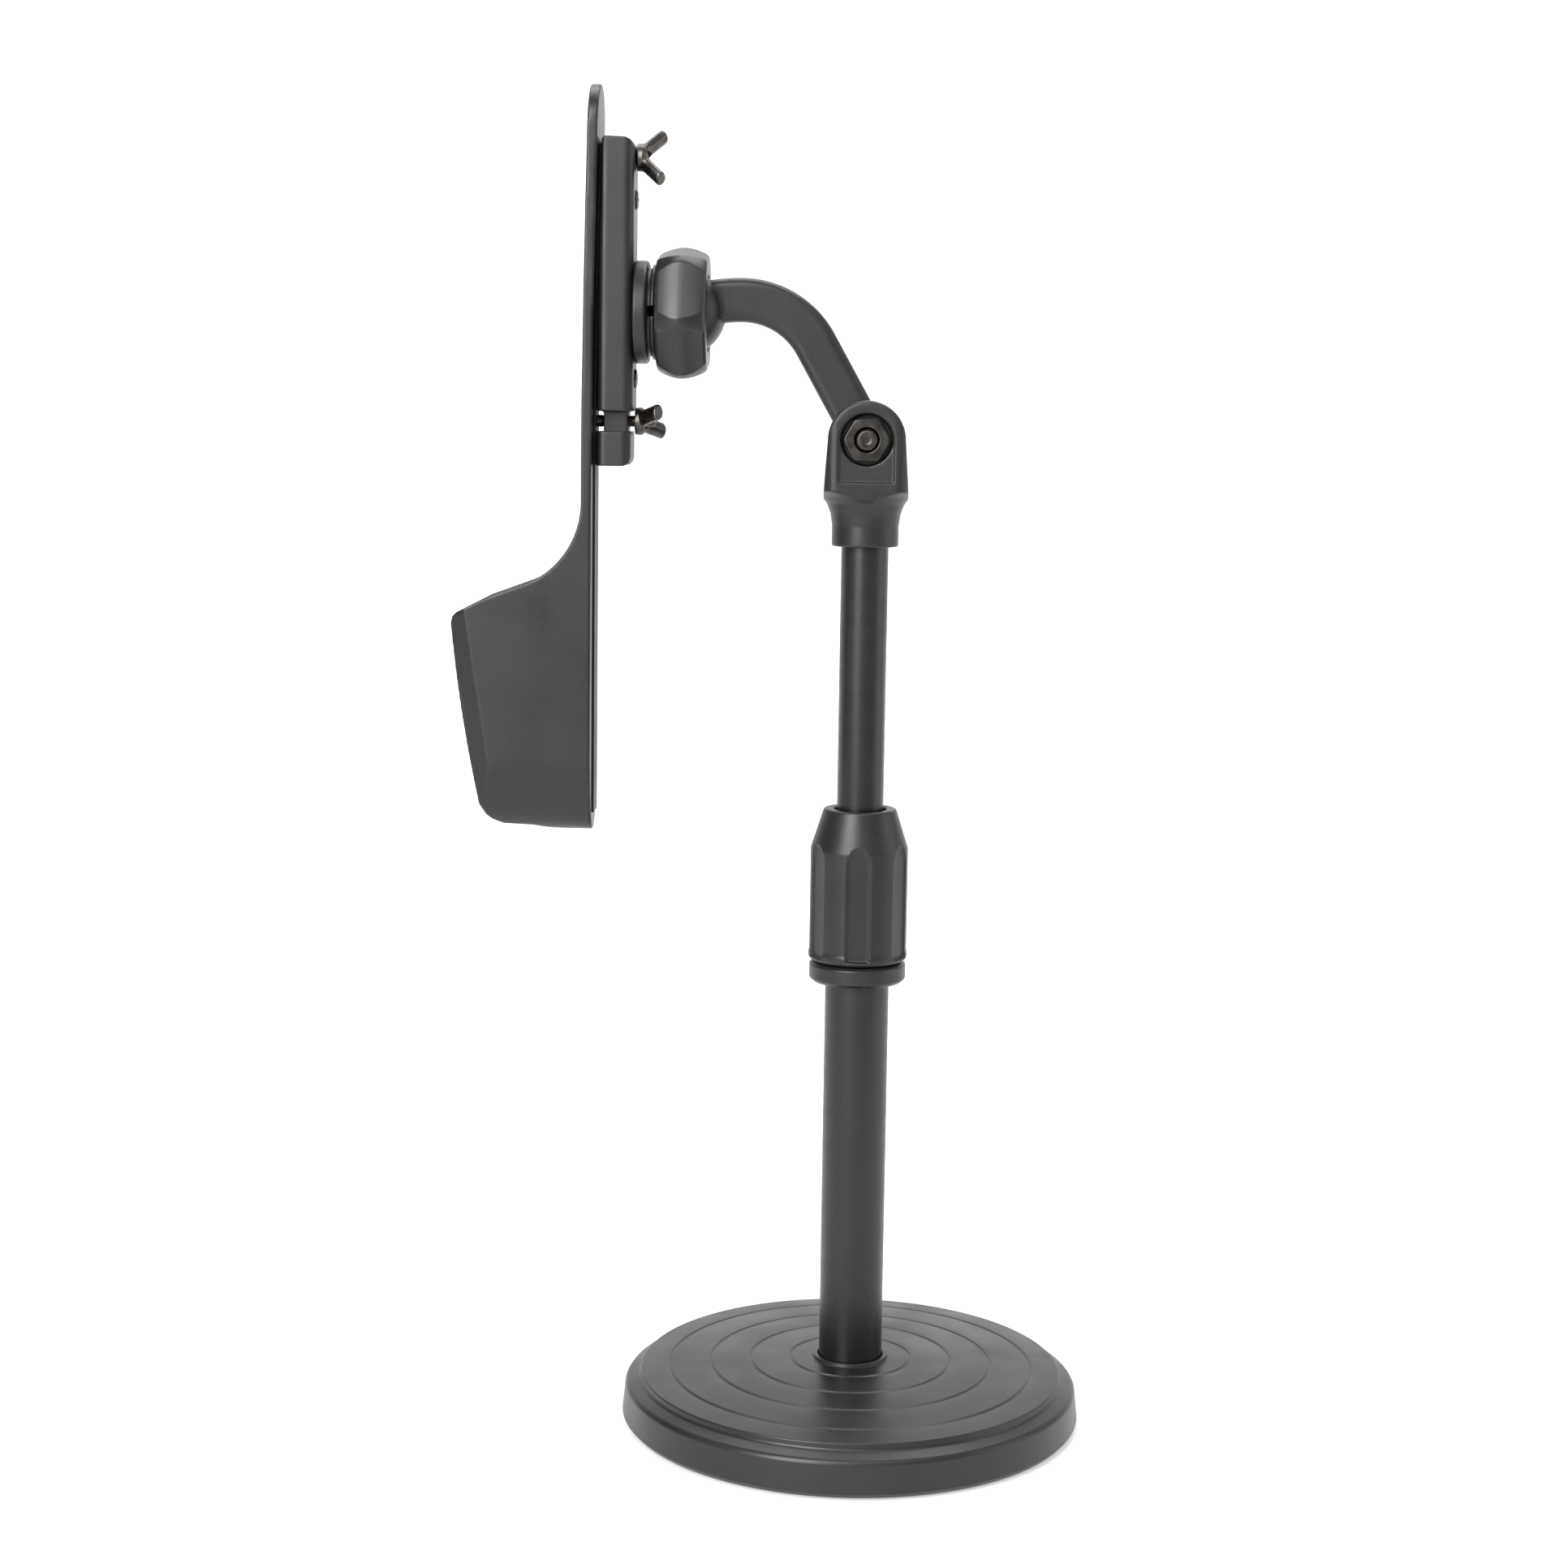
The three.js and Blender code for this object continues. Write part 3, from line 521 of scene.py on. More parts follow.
def finish(obj, node, slot, material=None):
    """Softens a piece that MOULD lists, shades it, and makes it stand for its CAD node."""
    if node in MOULD:
        moulded(obj, *MOULD[node])
    obj.name = node + "_fine"
    obj.data.name = obj.name
    obj.data.materials.clear()
    obj.data.materials.append(material or MATERIALS[slot])
    obj.data.shade_smooth()
    if node not in MOULD:
        step = obj.modifiers.new("normals", "WEIGHTED_NORMAL")
        step.keep_sharp = True
    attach(obj, BODY_OF[node])
    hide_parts(node)


# ---- base and pole ----
# profiles are (radius, height, fillet) in millimetres
def dome(r):
    return EDGE_Z + DOME_RISE * (1 - (r / EDGE_R) ** 2)


def make_base():
    lip_inner, lip_outer = LIP_R
    lip_top = dome(lip_outer) + LIP_RISE
    top = [(lip_inner, lip_top, 0.3), (lip_outer, lip_top, 0.5), (lip_outer + 0.15, dome(lip_outer), 0.4)]
    for r in GROOVES:
        near, far = r - GROOVE_HALF, r + GROOVE_HALF
        top += [(near, dome(near) - 0.1, 0.6), (r, dome(r) - GROOVE_DEPTH, 0.25), (far, dome(far) - 0.1, 0.6)]
        top += [(r + step, dome(r + step)) for step in (3, 5, 8)]
    side = [(EDGE_R, EDGE_Z, 0.6), (73.9, 15.1, 1.3), (78.9, 13.3, 2.4), (BASE_R, 2.6, 0.8), (78.4, 0.8, 0.3)]
    inside = [(77.2, 1.6), (77, 9.6), (72, 13.6), (45, dome(45) - COVER_WALL),
              (lip_inner, dome(lip_inner) - COVER_WALL)]
    finish(lathe("cover", top + side + inside, 256, steps=5), "base_cover", "shell_plastic")
    pad = [(0, 0), (20, 0, 0.3), (20.6, 0.5, 0.2), (21.4, 0.5, 0.2), (22, 0, 0.3), (75.8, 0, 0.5),
           (76, PAD_TOP), (0, PAD_TOP)]
    finish(lathe("pad", pad, 192), "base_pad", "rubber")


def make_pole():
    lower = [(TUBE_BORE_R, TUBE_FOOT), (TUBE_R, TUBE_FOOT, 0.3), (TUBE_R, TUBE_TOP, 0.4),
             (TUBE_BORE_R, TUBE_TOP, 0.2)]
    finish(lathe("lower", lower, 160), "lower_tube", "tube_paint")
    low, high = MAST_Z
    upper = [(MAST_BORE_R, low), (MAST_R, low, 0.3), (MAST_R, high, 0.3), (MAST_BORE_R, high, 0.2)]
    finish(lathe("upper", upper, 128), "upper_tube", "tube_paint")
    low, high = RING_Z
    sleeve = [(11.3, low, 0.3), (15.4, low, 0.5), (16.6, low + 1.2, 0.8), (16.6, high - 0.9, 0.8),
              (15.5, high, 0.5), (13.4, high, 0.1), (13.4, SLEEVE_TOP, 0.2), (11.3, SLEEVE_TOP, 0.2)]
    finish(lathe("sleeve", sleeve, 160), "lock_sleeve", "joint_plastic")


def flute(turn):
    """Cutter for one arched flat of the twist collar."""
    foot, top = FLUTE_Z
    steps = 20
    outline = [(-FLUTE_HALF, foot), (FLUTE_HALF, foot)]
    for i in range(steps + 1):
        angle = math.pi * i / steps
        outline.append((FLUTE_HALF * math.cos(angle), top - FLUTE_ARCH + FLUTE_ARCH * math.sin(angle)))
    tool = prism("tool", "x", outline, COLLAR_R - FLUTE_DEPTH, 20)
    return transform(tool, Matrix.Rotation(turn, 4, "Z"))


def make_collar():
    low, high = COLLAR_Z
    profile = [(13.8, low, 0.2), (16, low, 0.3), (17, low + 1, 0.5), (17, 166.8, 0.3), (COLLAR_R, 167.5, 0.3),
               (COLLAR_R, SHOULDER_Z, 1.2), (12.4, high, 0.8), (9, high, 0.5), (9, 206), (11.1, 204),
               (12.8, 188), (12.8, 185), (13.8, 185)]
    body = lathe("collar", profile, 192)
    flutes = [flute(-math.pi / 2 + i * 2 * math.pi / FLUTE_COUNT) for i in range(FLUTE_COUNT)]
    combine(body, "DIFFERENCE", *flutes)
    finish(body, "twist_collar", "joint_plastic")


def make_inner_rings():
    """Turned pieces inside the pole and the joints, seen only when the stand is opened up."""
    low, high = WEIGHT_Z
    rings = {
        "base_weight": ([(9.4, low), (WEIGHT_R, low, 0.8), (WEIGHT_R, high, 1.2), (4.6, high, 0.3), (4.6, 8),
                         (9.4, 8)], "weight_iron"),
        "base_washer": ([(4.4, 6.4), (8.6, 6.4, 0.3), (8.6, 7.7, 0.3), (4.4, 7.7)], "fastener_steel"),
        "tube_plug": ([(4.3, TUBE_FOOT), (PLUG_R, TUBE_FOOT, 0.4), (PLUG_R, 31, 0.6), (4.3, 31, 0.3)],
                      "nylon"),
        "tube_bushing": ([(8.3, 160), (PLUG_R, 160, 0.3), (PLUG_R, 178.4), (10.9, 178.4, 0.2),
                          (10.9, 180.4, 0.4), (8.3, 180.4, 0.3)], "nylon"),
        "slide_bush": ([(0, 100), (PLUG_R, 100, 0.5), (PLUG_R, 114, 0.4), (8.2, 114, 0.2), (8.2, 103.6, 0.3),
                        (0, 103.6)], "nylon"),
    }
    for node, (profile, slot) in rings.items():
        finish(lathe(node, profile, 96), node, slot)
    for name in ("front", "rear"):
        node = "pivot_washer_" + name
        low, high = -corner(node, "y", 1), -corner(node, "y", 0)
        profile = [(PIVOT_HOLE_R, low, 0.1), (8.6, low, 0.2), (8.6, high, 0.2), (PIVOT_HOLE_R, high, 0.1)]
        finish(along_minus_y(lathe(node, profile, 96), PIVOT_Z), node, "nylon")
    ring = [(14.3, -60), (15, -60, 0.1), (15, -56.8, 0.2), (13.4, -56.8, 0.1)]
    finish(along_x(lathe("seat", ring, 96), BALL.z), "seat_ring", "nylon")


# ---- clevis, its bolt and the arm ----
# cutting tools reach past the faces that they cut through
def arch(half_base, half_width, base_z):
    """Outline of a clevis ear: a half circle about the pivot on a straight foot."""
    outline = [(-half_base, base_z), (half_base, base_z)]
    return outline + arc_points((0, PIVOT_Z), half_width, 0, 180, 32)


def make_yoke():
    block = prism("yoke", "z", rounded_rect(YOKE_X, YOKE_Y, 4.5), FERRULE_Z, 360)
    ears = bevelled(prism("tool", "y", arch(YOKE_X + 1.4, EAR_R, FERRULE_Z - 3), -YOKE_Y, YOKE_Y), 1.4)
    flare = [(0, FERRULE_Z), (11.3, FERRULE_Z, 0.5), (11.3, 313, 4), (11.9, 317, 6), (13.2, 320.4, 5),
             (15.4, 323, 5), (18.5, 324.6), (24, 325.6), (24, 362), (0, 362)]
    combine(block, "INTERSECT", ears, lathe("tool", flare, 128))
    tools = [box(-30, 30, -EAR_GAP_HALF, EAR_GAP_HALF, 331.5, 370)]
    panel = arch(EAR_PANEL_R, EAR_PANEL_R, 327.7)
    tools += [prism("tool", "y", panel, -YOKE_Y - 1, -YOKE_Y + EAR_PANEL_DEPTH),
              prism("tool", "y", panel, YOKE_Y - EAR_PANEL_DEPTH, YOKE_Y + 1),
              along_minus_y(rod(HEX_SEAT_R, HEX_SEAT_Y, 20), PIVOT_Z),
              along_minus_y(rod(HEX_SEAT_R, -20, -HEX_SEAT_Y), PIVOT_Z),
              along_minus_y(rod(PIVOT_HOLE_R, -30, 30), PIVOT_Z),
              rod(MAST_R + GAP, FERRULE_Z - 1, 319)]
    combine(block, "DIFFERENCE", *tools)
    finish(block, "yoke", "joint_plastic")


def hexagon_body(bore):
    """Nut or bolt head with its corners turned off at both ends, standing on z = 0."""
    body = prism("nut", "z", hexagon(HEX_HALF), 0, HEX_THICK)
    reach = HEX_HALF / math.cos(math.pi / 6)
    turned = [(0, -0.01), (reach - HEX_CHAMFER, -0.01), (reach + 0.2, 0.6), (reach + 0.2, HEX_THICK - 0.6),
              (reach - HEX_CHAMFER, HEX_THICK + 0.01), (0, HEX_THICK + 0.01)]
    combine(body, "INTERSECT", lathe("tool", turned, 96))
    if bore:
        combine(body, "DIFFERENCE", rod(bore, -1, HEX_THICK + 1))
    return body


def make_pivot():
    face = YOKE_Y - HEX_SEAT_DEPTH + GAP
    end = YOKE_Y + 0.5
    thread_start = 12.2
    nut = transform(hexagon_body(4.25), Matrix.Translation((0, 0, face * MM)))
    finish(along_minus_y(nut, PIVOT_Z), "pivot_nut", "fastener_steel", DARK_STEEL)
    shank = [(0, -face - 0.5), (PIVOT_R, -face - 0.5), (PIVOT_R, thread_start)]
    shank += thread(PIVOT_R, 0.3, 0.8, thread_start, end - 0.9)
    shank += [(3.5, end - 0.55, 0.2), (2.9, end, 0.25), (1.6, end, 0.2), (1.2, end - 0.25, 0.2),
              (0, end - 0.3)]
    bolt = along_minus_y(lathe("bolt", shank, 96), PIVOT_Z)
    head = transform(hexagon_body(0), Matrix.Translation((0, 0, (-face - HEX_THICK) * MM)))
    combine(bolt, "UNION", along_minus_y(head, PIVOT_Z))
    finish(bolt, "pivot_bolt", "fastener_steel", DARK_STEEL)


def arm_axis():
    """Points and headings of the arm's centre line: straight, one tight bend, then a slight droop."""
    turn = math.pi / 2 - ARM_LEAN
    droop_r, droop_turn = ARM_DROOP
    straight = (ARM_TOP_Z - PIVOT_Z) / math.cos(ARM_LEAN) - ARM_BEND_R * math.tan(turn / 2)
    # length and curvature of each run
    runs = [(straight, 0), (ARM_BEND_R * turn, 1 / ARM_BEND_R), (droop_r * droop_turn, 1 / droop_r)]
    total = sum(length for length, _ in runs)
    result = []
    for i in range(ARM_STEPS + 1):
        left = total * i / ARM_STEPS
        x, z, heading = 0.0, PIVOT_Z, ARM_LEAN
        for length, curve in runs:
            s = min(left, length)
            if curve == 0:
                x -= s * math.sin(heading)
                z += s * math.cos(heading)
            else:
                end = heading + s * curve
                x -= (math.cos(heading) - math.cos(end)) / curve
                z += (math.sin(end) - math.sin(heading)) / curve
                heading = end
            left -= s
            if left <= 0:
                break
        result.append((x, z, heading))
    return result


def ring_faces(rings, count):
    """Side faces between rings of count points each, and the two end faces."""
    faces = []
    for i in range(rings - 1):
        for j in range(count):
            k = (j + 1) % count
            faces.append([i * count + j, i * count + k, (i + 1) * count + k, (i + 1) * count + j])
    return faces + [list(range(count)), list(range((rings - 1) * count, rings * count))]


def make_arm():
    section = rounded_rect(ARM_THICK / 2, ARM_HALF_Y, 2.9, 8)
    verts = []
    axis = arm_axis()
    for x, z, heading in axis:
        # across the bar in the XZ plane, at right angles to its heading
        across = (math.cos(heading), math.sin(heading))
        verts += [(x + a * across[0], b, z + a * across[1]) for a, b in section]
    bar = new_object("arm", verts, ring_faces(len(axis), len(section)))
    eye_profile = [(0, -ARM_HALF_Y), (ARM_EYE_R, -ARM_HALF_Y, 1), (ARM_EYE_R, ARM_HALF_Y, 1), (0, ARM_HALF_Y)]
    eye = along_minus_y(lathe("tool", eye_profile, 96), PIVOT_Z)
    ball_profile = [(0, -BALL_R)] + arc_points((0, 0), BALL_R, -88, 88, 60) + [(0, BALL_R)]
    ball = transform(lathe("tool", ball_profile, 128), Matrix.Translation(BALL * MM))
    combine(bar, "UNION", eye, ball)
    combine(bar, "DIFFERENCE", along_minus_y(rod(PIVOT_HOLE_R, -30, 30), PIVOT_Z))
    finish(bar, "arm", "joint_plastic")


# ---- ball joint ----
def make_ball_nut():
    """Crowned barrel with six crowned flats, a rim at each end and a fine seam round its middle."""
    low, high = NUT_X
    middle, half = (low + high) / 2, (high - low) / 2
    bore_limit = 18
    steps = 40

    def crown(ends, x):
        t = min(1.0, abs(x - middle) / (half - NUT_RIM))
        return ends[0] - (ends[0] - ends[1]) * t ** 1.8

    def warp(r, x, turn):
        if r < bore_limit:
            return r
        # angle from -Y towards +Z, once the body lies along X
        lift = math.atan2(-math.cos(turn), -math.sin(turn))
        step = math.pi / 3
        off = (lift - FLAT_TURN + step / 2) % step - step / 2
        barrel = crown(BARREL_R, x)
        flat = crown(FLAT_R, x) / math.cos(off)
        spread = max(FLAT_BLEND - abs(barrel - flat), 0) / FLAT_BLEND
        shape = min(barrel, flat) - spread * spread * FLAT_BLEND / 4
        return shape + (r - barrel)

    outer = [(crown(BARREL_R, low) - NUT_RIM, low, 0.2), (crown(BARREL_R, low), low + NUT_RIM, 0.5)]
    for i in range(1, steps):
        x = low + NUT_RIM + (high - low - 2 * NUT_RIM) * i / steps
        r = crown(BARREL_R, x)
        if i == steps // 2:
            outer += [(r, x - NUT_SEAM_HALF), (r - NUT_SEAM_DEPTH, x), (r, x + NUT_SEAM_HALF)]
        else:
            outer.append((r, x))
    outer += [(crown(BARREL_R, high), high - NUT_RIM, 0.5), (crown(BARREL_R, high) - NUT_RIM, high, 0.2)]
    inner = [(12.4, high, 0.3), (15.2, -56.4), (15.2, -60.4), (16.4, -60.4), (16.4, low, 0.3)]
    nut = along_x(lathe("nut", outer + inner, 720, warp, 3), BALL.z)
    finish(nut, "ball_nut", "joint_plastic", NUT_PLASTIC)


def make_socket():
    """The flange with its hub and its slit, threaded cup round the ball, and the pad inside that cup."""
    back, face = FLANGE_X
    profile = [(0, -85), (7.8, -85, 0.3), (7.8, back), (FLANGE_R, back, 0.5), (FLANGE_R, face, 0.9),
               (14.6, face, 0.3), (14.6, -72.4, 0.2), (15.9, -72.1, 0.3), (15.9, -71.2, 0.4), (15.2, -70.8)]
    profile += thread(16, 0.8, 1.5, -70.4, -62.9) + [(16, -62.5)]
    pocket_steps = 14
    for i in range(pocket_steps + 1):
        angle = math.radians(88 - 63 * i / pocket_steps)
        profile.append((SOCKET_R * math.sin(angle), BALL.x - SOCKET_R * math.cos(angle)))
    profile += [(6.3, -78.2), (0, -78.2)]
    body = lathe("socket", profile, 128)
    slits = []
    for i in range(4):
        slit = box(9.4, 18, -SLIT_HALF, SLIT_HALF, -73.2, -61)
        slits.append(transform(slit, Matrix.Rotation(i * math.pi / 2, 4, "Z")))
    combine(body, "DIFFERENCE", *slits, rod(2.5, -86, -79.6))
    finish(along_x(body, BALL.z), "socket", "joint_plastic")
    inner, outer = BALL_PAD_R
    pad_steps = 10
    spread = [math.radians(32 * i / pad_steps) for i in range(pad_steps + 1)]
    pad = [(outer * math.sin(a), BALL.x - outer * math.cos(a)) for a in spread]
    pad += [(inner * math.sin(a), BALL.x - inner * math.cos(a)) for a in reversed(spread)]
    finish(along_x(lathe("cap", pad, 96), BALL.z), "ball_pad", "nylon")


# ---- bracket, jaw and fasteners ----
def bow(z):
    """How far the plate has bent back at height z."""
    return BOW_TOP * (max(0, z - BOW_START) / (PLATE_Z[1] - BOW_START)) ** 1.5


def plate_back(z):
    return PLATE_FRONT + PLATE_THICK + bow(z)


def bracket_front(z):
    return plate_back(z) + 0.6 + 0.45


def rounded_bar(side, back, low, high):
    """A bar along Z whose side view is given, with its four long edges rounded."""
    front = bracket_front(low)
    plan = [(x + (back + front) / 2, y) for x, y in rounded_rect((back - front) / 2, BRACKET_HALF_Y, 3, 8)]
    bar = prism("bar", "y", side, -BRACKET_HALF_Y - 1, BRACKET_HALF_Y + 1)
    return combine(bar, "INTERSECT", prism("tool", "z", plan, low, high))


def make_bracket():
    low, high = BRACKET_Z
    back = BRACKET_BACK
    steps = 24
    levels = [low - 1 + (high - low) * i / steps for i in range(steps + 1)]
    side = [(bracket_front(z), z) for z in levels]
    side += [(bracket_front(high) + 1, high), (back - 3, high - 0.2), (back - 1.1, high - 1.1),
             (back - 0.2, high - 3), (back + 1, high - 5), (back + 1, low - 1)]
    bar = rounded_bar(side, back, low, high)
    combine(bar, "UNION", box(*TONGUE_X, -TONGUE_HALF_Y, TONGUE_HALF_Y, 334, low + 4))
    tools = [along_x(rod(8.2, -85.3, -70), BALL.z), along_x(rod(5.3, -95, -86.6), BALL.z),
             along_x(rod(2.9, -95, -70), BALL.z)]
    tools += [along_x(rod(BOLT_HOLE_R, -95, -70), z) for z in BOLT_Z.values()]
    tools += [along_x(rod(1.9, -87.5, -70), z) for z in SCREW_Z.values()]
    combine(bar, "DIFFERENCE", *tools)
    finish(bar, "bracket", "joint_plastic")


def make_jaw():
    low, high = JAW_Z
    back = JAW_BACK
    side = rounded([(-100, high + 1), (-100, low), (back, low, 3), (back, high + 1)], True, 6)
    jaw = rounded_bar(side, back, low, high)
    slot_half = TONGUE_HALF_Y + GAP
    combine(jaw, "DIFFERENCE", box(TONGUE_X[0] - GAP, TONGUE_X[1] + GAP, -slot_half, slot_half, 320, 350))
    groove = [(back - 1.6, -11), (back - 1.35, -11), (back - 1.35, -9.7), (back - 1.6, -9.7)]
    combine(jaw, "DIFFERENCE", prism("tool", "z", groove, low - 1, high + 1))
    finish(jaw, "lower_jaw", "joint_plastic")


def cross_recess(face, depth, reach, z, outward):
    """Two crossed slots sunk into a screw head that faces along X."""
    low, high = sorted((face + outward, face - outward * depth))
    upright = box(low, high, -CROSS_HALF, CROSS_HALF, z - reach, z + reach)
    return [upright, box(low, high, -reach, reach, z - CROSS_HALF, z + CROSS_HALF)]


def make_fasteners():
    for level, z in BOLT_Z.items():
        node = "bolt_" + level
        face = PLATE_FRONT + bow(z) + 0.2
        end = corner(node, "x", 1)
        start = end - THREAD_LENGTH[level]
        profile = [(0, face), (4.1, face, 0.15), (4.1, face + 0.4, 0.1), (2, face + 2.5), (2, start)]
        profile += thread(2, 0.28, 0.7, start, end - 0.5)
        profile += [(1.6, end - 0.4, 0.1), (1.4, end, 0.15), (0, end)]
        bolt = along_x(lathe("bolt", profile, 64, steps=2), z)
        combine(bolt, "DIFFERENCE", *cross_recess(face, 1.4, 1.9, z, -1))
        finish(bolt, node, "fastener_steel")
    seat = BRACKET_BACK + 0.1
    for level, z in SCREW_Z.items():
        profile = [(0, -87), (1.6, -87), (1.6, seat), (3.3, seat, 0.1), (3.3, seat + 0.3, 0.2),
                   (2.7, seat + 0.7, 0.6), (0, seat + 0.8)]
        screw = along_x(lathe("screw", profile, 64), z)
        combine(screw, "DIFFERENCE", *cross_recess(seat + 0.8, 0.6, 1.7, z, 1))
        finish(screw, "bracket_screw_" + level, "fastener_steel")
    profile = [(0, -90), (4.6, -90, 0.4), (4.9, -89.4, 0.3), (4.9, -86.9, 0.2), (2.2, -86.9), (2.2, -80, 0.3),
               (0, -80)]
    finish(along_x(lathe("screw", profile, 96), BALL.z), "socket_screw", "fastener_steel")


def wing(side, low):
    """One wing of a wing nut: a flattened rod with a chamfered round end."""
    start = Vector((0, side * WING_ROOT[0], low + WING_ROOT[1]))
    end = Vector((0, side * WING_TIP[0], low + WING_TIP[1]))
    along = (end - start).normalized()
    flat = Vector((0, along.z, -along.y))
    wide, thin = WING_HALF
    # place along the wing and size there
    rings = [(0.0, 1.15), (0.3, 1.0), (0.75, 1.0), (0.93, 1.0), (0.985, 0.9), (1.0, 0.72)]
    count = 32
    verts = []
    for t, scale in rings:
        centre = start.lerp(end, t)
        for i in range(count):
            angle = 2 * math.pi * i / count
            offset = Vector((wide * scale * math.cos(angle), 0, 0)) + flat * (thin * scale * math.sin(angle))
            verts.append(centre + offset)
    return new_object("wing", verts, ring_faces(len(rings), count))


def make_wing_nuts():
    low, high = corner("wing_nut_top", "x", 0), -74.7
    for level, z in BOLT_Z.items():
        hub = [(0, low), (4.5, low, 0.4), (4.7, low + 2.2, 0.6), (3.8, high, 0.6), (0, high)]
        nut = lathe("nut", hub, 96)
        combine(nut, "UNION", wing(1, low), wing(-1, low))
        combine(nut, "DIFFERENCE", rod(2.25, low - 1, high + 10))
        finish(along_x(nut, z, WING_TURN[level]), "wing_nut_" + level, "fastener_steel")


# ---- holder ----
def holder_side():
    """Side view of the plate and the cup, in X and Z, from the foot forwards and round."""
    foot, top = PLATE_Z
    outline = [(plate_back(foot), foot), (-106, foot + 0.3), (-112, foot + 1.5), (-122, foot + 2),
               (-125.6, foot + 3.6), (-127.6, foot + 5.3)]
    bulge = Vector(((CUP_FOOT[0] + CUP_TOP[0]) / 2 - 2, (CUP_FOOT[1] + CUP_TOP[1]) / 2))
    front_steps, plate_steps = 12, 24
    for i in range(front_steps + 1):
        t = i / front_steps
        point = Vector(CUP_FOOT) * (1 - t) ** 2 + bulge * 2 * t * (1 - t) + Vector(CUP_TOP) * t * t
        outline.append(tuple(point))
    outline += [(-138.8, 280.8), (-137.4, 282.2), (-128, 287)]
    outline += arc_points((PLATE_FRONT - CUP_NECK_R, CUP_NECK_Z), CUP_NECK_R, -67.2, 0, 28)
    levels = [BOW_START + (top - BOW_START) * i / plate_steps for i in range(plate_steps + 1)]
    outline += [(PLATE_FRONT + bow(z), z) for z in levels]
    return outline + [(plate_back(z), z) for z in reversed(levels)]


def holder_front(inset):
    """Front view of the holder, in Y and Z: a half circle at the top and a half ellipse at the foot."""
    half = PLATE_HALF_Y - inset
    steps = 40
    outline = arc_points((0, PLATE_Z[1] - PLATE_HALF_Y), half, 0, 180, 36)
    for i in range(steps + 1):
        angle = math.pi + math.pi * i / steps
        height = PLATE_Z[0] + FOOT_RISE + (FOOT_RISE - inset) * math.sin(angle)
        outline.append((half * math.cos(angle), height))
    return outline


def corner_wedge(side, inset=0.0):
    """The cup's front corner that is cut away; the inset moves the cut towards the cup's middle."""
    width, depth = CUP_CORNER
    outline = [(-3, 1), (width, 1), (width, 0), (0, -depth), (-3, -depth)]
    lean = math.atan2(CUP_FOOT[0] - CUP_TOP[0], CUP_TOP[1] - CUP_FOOT[1])
    wedge = transform(prism("tool", "z", outline, -80, 40), Matrix.Rotation(-lean, 4, "Y"))
    transform(wedge, Matrix.Translation((CUP_TOP[0] * MM, (PLATE_HALF_Y - inset) * MM, CUP_TOP[1] * MM)))
    if side < 0:
        transform(wedge, Matrix.Scale(-1, 4, (0, 1, 0)))
        wedge.data.flip_normals()
    return wedge


def make_holder():
    body = prism("holder", "y", holder_side(), -PLATE_HALF_Y, PLATE_HALF_Y)
    combine(body, "INTERSECT", prism("tool", "x", holder_front(0), -150, -80))
    floor = PLATE_Z[0] + CUP_FLOOR
    back = PLATE_FRONT - 0.2
    hollow_side = [(back, floor), (-124, floor), (-127.2, 216.5), (-133.2, 248), (-136.9, 276),
                   (-138.9, 292), (-138.9, 340), (back, 340)]
    hollow = prism("tool", "y", hollow_side, -PLATE_HALF_Y + CUP_WALL, PLATE_HALF_Y - CUP_WALL)
    combine(hollow, "INTERSECT", prism("tool", "x", holder_front(CUP_WALL), -150, -80))
    combine(hollow, "DIFFERENCE", corner_wedge(1, CUP_WALL), corner_wedge(-1, CUP_WALL))
    combine(body, "DIFFERENCE", hollow, corner_wedge(1), corner_wedge(-1))
    for z in BOLT_Z.values():
        face = PLATE_FRONT + bow(z)
        seat = [(0, face - 2), (4.4, face - 2), (4.4, face + 0.6), (BOLT_HOLE_R, face + 2.7),
                (BOLT_HOLE_R, -80), (0, -80)]
        combine(body, "DIFFERENCE", along_x(lathe("tool", seat, 64), z))
    finish(body, "holder", "shell_plastic")


def make_rear_panel():
    low, high = PANEL_Z
    near, far = PANEL_BEHIND
    steps = 40
    levels = [low + (high - low) * i / steps for i in range(steps + 1)]
    outline = [(plate_back(z) + near, z) for z in levels]
    outline += [(plate_back(z) + far, z) for z in reversed(levels)]
    panel = bevelled(prism("panel", "y", outline, -PANEL_HALF_Y, PANEL_HALF_Y), 0.15, 2)
    combine(panel, "DIFFERENCE", *[along_x(rod(BOLT_HOLE_R, -100, -80), z) for z in BOLT_Z.values()])
    finish(panel, "rear_panel", "nylon")


# ---- studio, in metres ----
# the floor's edges, and two ramps of its glow along Y: from, to, glow before, glow after
FLOOR_SIDE = 5.0
FLOOR_Y = (-4.0, 5.0)
FLOOR_GLOW = ((-0.5, -0.12, 0.0, 0.46), (0.35, 1.6, 0.0, 0.75))

# two ramps of the surroundings' brightness, across and away from the camera, in the same order
WORLD_GLOW = {"X": (-1.0, 1.0, 0.24, 0.50), "Y": (0.5, 0.9, 0.0, 1.0)}

# name, width and height, watts, place and aim of each soft light
LIGHTS = (
    ("key", (0.75, 1.3), 32, (-0.72, -1.30, 0.9), (-0.02, 0, 0.25)),
    ("front", (1.5, 0.4), 6, (0.05, -1.05, 1.3), (-0.05, 0, 0.3)),
    ("top", (1.6, 1.0), 20, (0.0, 0.5, 1.7), (0, 0, 0.1)),
    ("side", (0.9, 1.2), 4.5, (1.5, -0.1, 0.6), (0, 0, 0.25)),
)

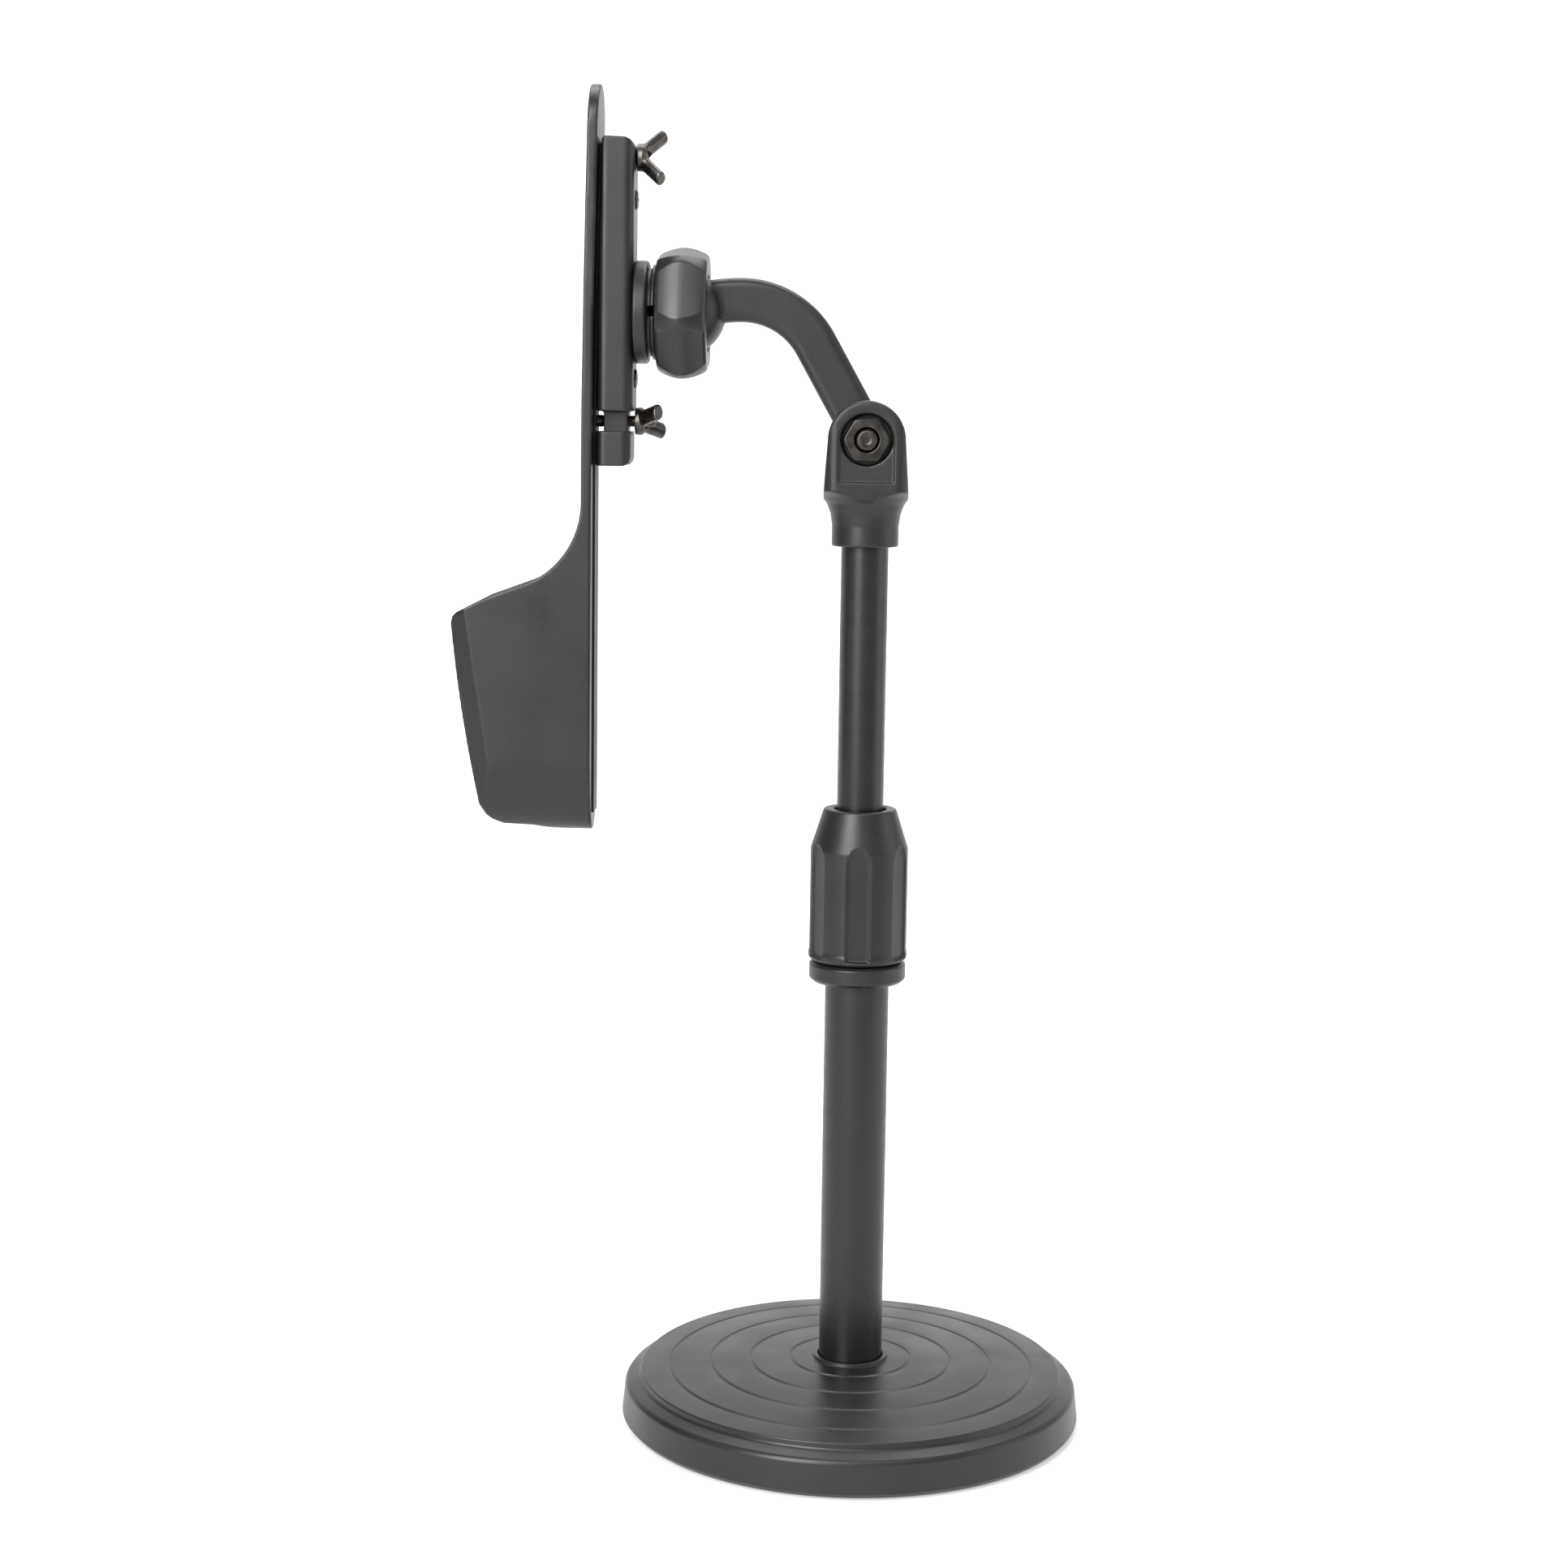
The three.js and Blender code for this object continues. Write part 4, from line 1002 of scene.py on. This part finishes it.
# where the photograph was taken from, solved on its round edges; the angles are in radians
CAMERA_EYE = (0, -0.93909, 0.35603)
CAMERA_YAW = -0.02792
CAMERA_PITCH = 0.13935
CAMERA_ROLL = 0.0146
CAMERA_SENSOR = 36.0
CAMERA_FOCAL = 63.54410


def make_stage():
    """A pale paper floor that glows a little under the stand and more behind it."""
    side = FLOOR_SIDE / MM
    front, back = (y / MM for y in FLOOR_Y)
    corners = [(-side, front, 0), (side, front, 0), (side, back, 0), (-side, back, 0)]
    stage = new_object("studio_floor", corners, [[0, 1, 2, 3]])
    n = Nodes("studio_paper")
    tone = n.mix(n.ramp(n.noise(3.0), 0.4, 0.6, 0.0, 1.0), grey(0.60), grey(0.64))
    away = n.add("ShaderNodeSeparateXYZ", Vector=n.place).outputs["Y"]
    under, behind = (n.ramp(away, *numbers) for numbers in FLOOR_GLOW)
    glow = n.math("ADD", under, behind)
    paper = n.done(Base_Color=tone, Roughness=0.9, Emission_Color=grey(1.0), Emission_Strength=glow)
    stage.data.materials.append(paper)


def make_world():
    """White surroundings behind the stand, dimmer in front of it and on its left."""
    world = bpy.data.worlds.new("studio")
    bpy.context.scene.world = world
    world.use_nodes = True
    tree = world.node_tree
    around = tree.nodes.new("ShaderNodeTexCoord")
    split = tree.nodes.new("ShaderNodeSeparateXYZ")
    total = tree.nodes.new("ShaderNodeMath")
    tree.links.new(around.outputs["Generated"], split.inputs[0])
    for slot, (axis, numbers) in enumerate(WORLD_GLOW.items()):
        glow = tree.nodes.new("ShaderNodeMapRange")
        tree.links.new(split.outputs[axis], glow.inputs["Value"])
        for index, number in enumerate(numbers, 1):
            glow.inputs[index].default_value = number
        tree.links.new(glow.outputs[0], total.inputs[slot])
    tree.links.new(total.outputs[0], tree.nodes["Background"].inputs["Strength"])
    tree.nodes["Background"].inputs["Color"].default_value = grey(1.0)


def make_light(name, size, energy, place, aim):
    light = bpy.data.lights.new(name, "AREA")
    light.shape = "RECTANGLE"
    light.size, light.size_y = size
    light.energy = energy
    obj = bpy.data.objects.new(name, light)
    bpy.context.scene.collection.objects.link(obj)
    obj.location = place
    obj.rotation_mode = "QUATERNION"
    obj.rotation_quaternion = (Vector(aim) - Vector(place)).to_track_quat("-Z", "Y")


def make_camera():
    yaw, pitch, roll = CAMERA_YAW, CAMERA_PITCH, CAMERA_ROLL
    ahead = Vector((math.sin(yaw) * math.cos(pitch), math.cos(yaw) * math.cos(pitch), -math.sin(pitch)))
    level = Vector((math.cos(yaw), -math.sin(yaw), 0))
    up = level.cross(ahead)
    right = level * math.cos(roll) + up * math.sin(roll)
    upright = up * math.cos(roll) - level * math.sin(roll)
    data = bpy.data.cameras.new("camera")
    data.sensor_width = CAMERA_SENSOR
    data.lens = CAMERA_FOCAL
    data.clip_start, data.clip_end = 0.05, 50
    camera = bpy.data.objects.new("camera", data)
    bpy.context.scene.collection.objects.link(camera)
    turn = Matrix((right, upright, -ahead)).transposed().to_4x4()
    camera.matrix_world = Matrix.Translation(CAMERA_EYE) @ turn
    bpy.context.scene.camera = camera


make_base()
make_pole()
make_collar()
make_inner_rings()
make_yoke()
make_pivot()
make_arm()
make_ball_nut()
make_socket()
make_bracket()
make_jaw()
make_fasteners()
make_wing_nuts()
make_holder()
make_rear_panel()

# two pieces inside the stand keep their CAD shape
CARRIED = {"base_bolt": "fastener_steel", "collet": "nylon"}
for node_name, slot_name in CARRIED.items():
    mesh = frame["nodes"][node_name].data
    mesh.materials.clear()
    mesh.materials.append(MATERIALS[slot_name])

make_stage()
make_world()
for light_values in LIGHTS:
    make_light(*light_values)
make_camera()
bpy.context.scene.view_settings.view_transform = "Standard"
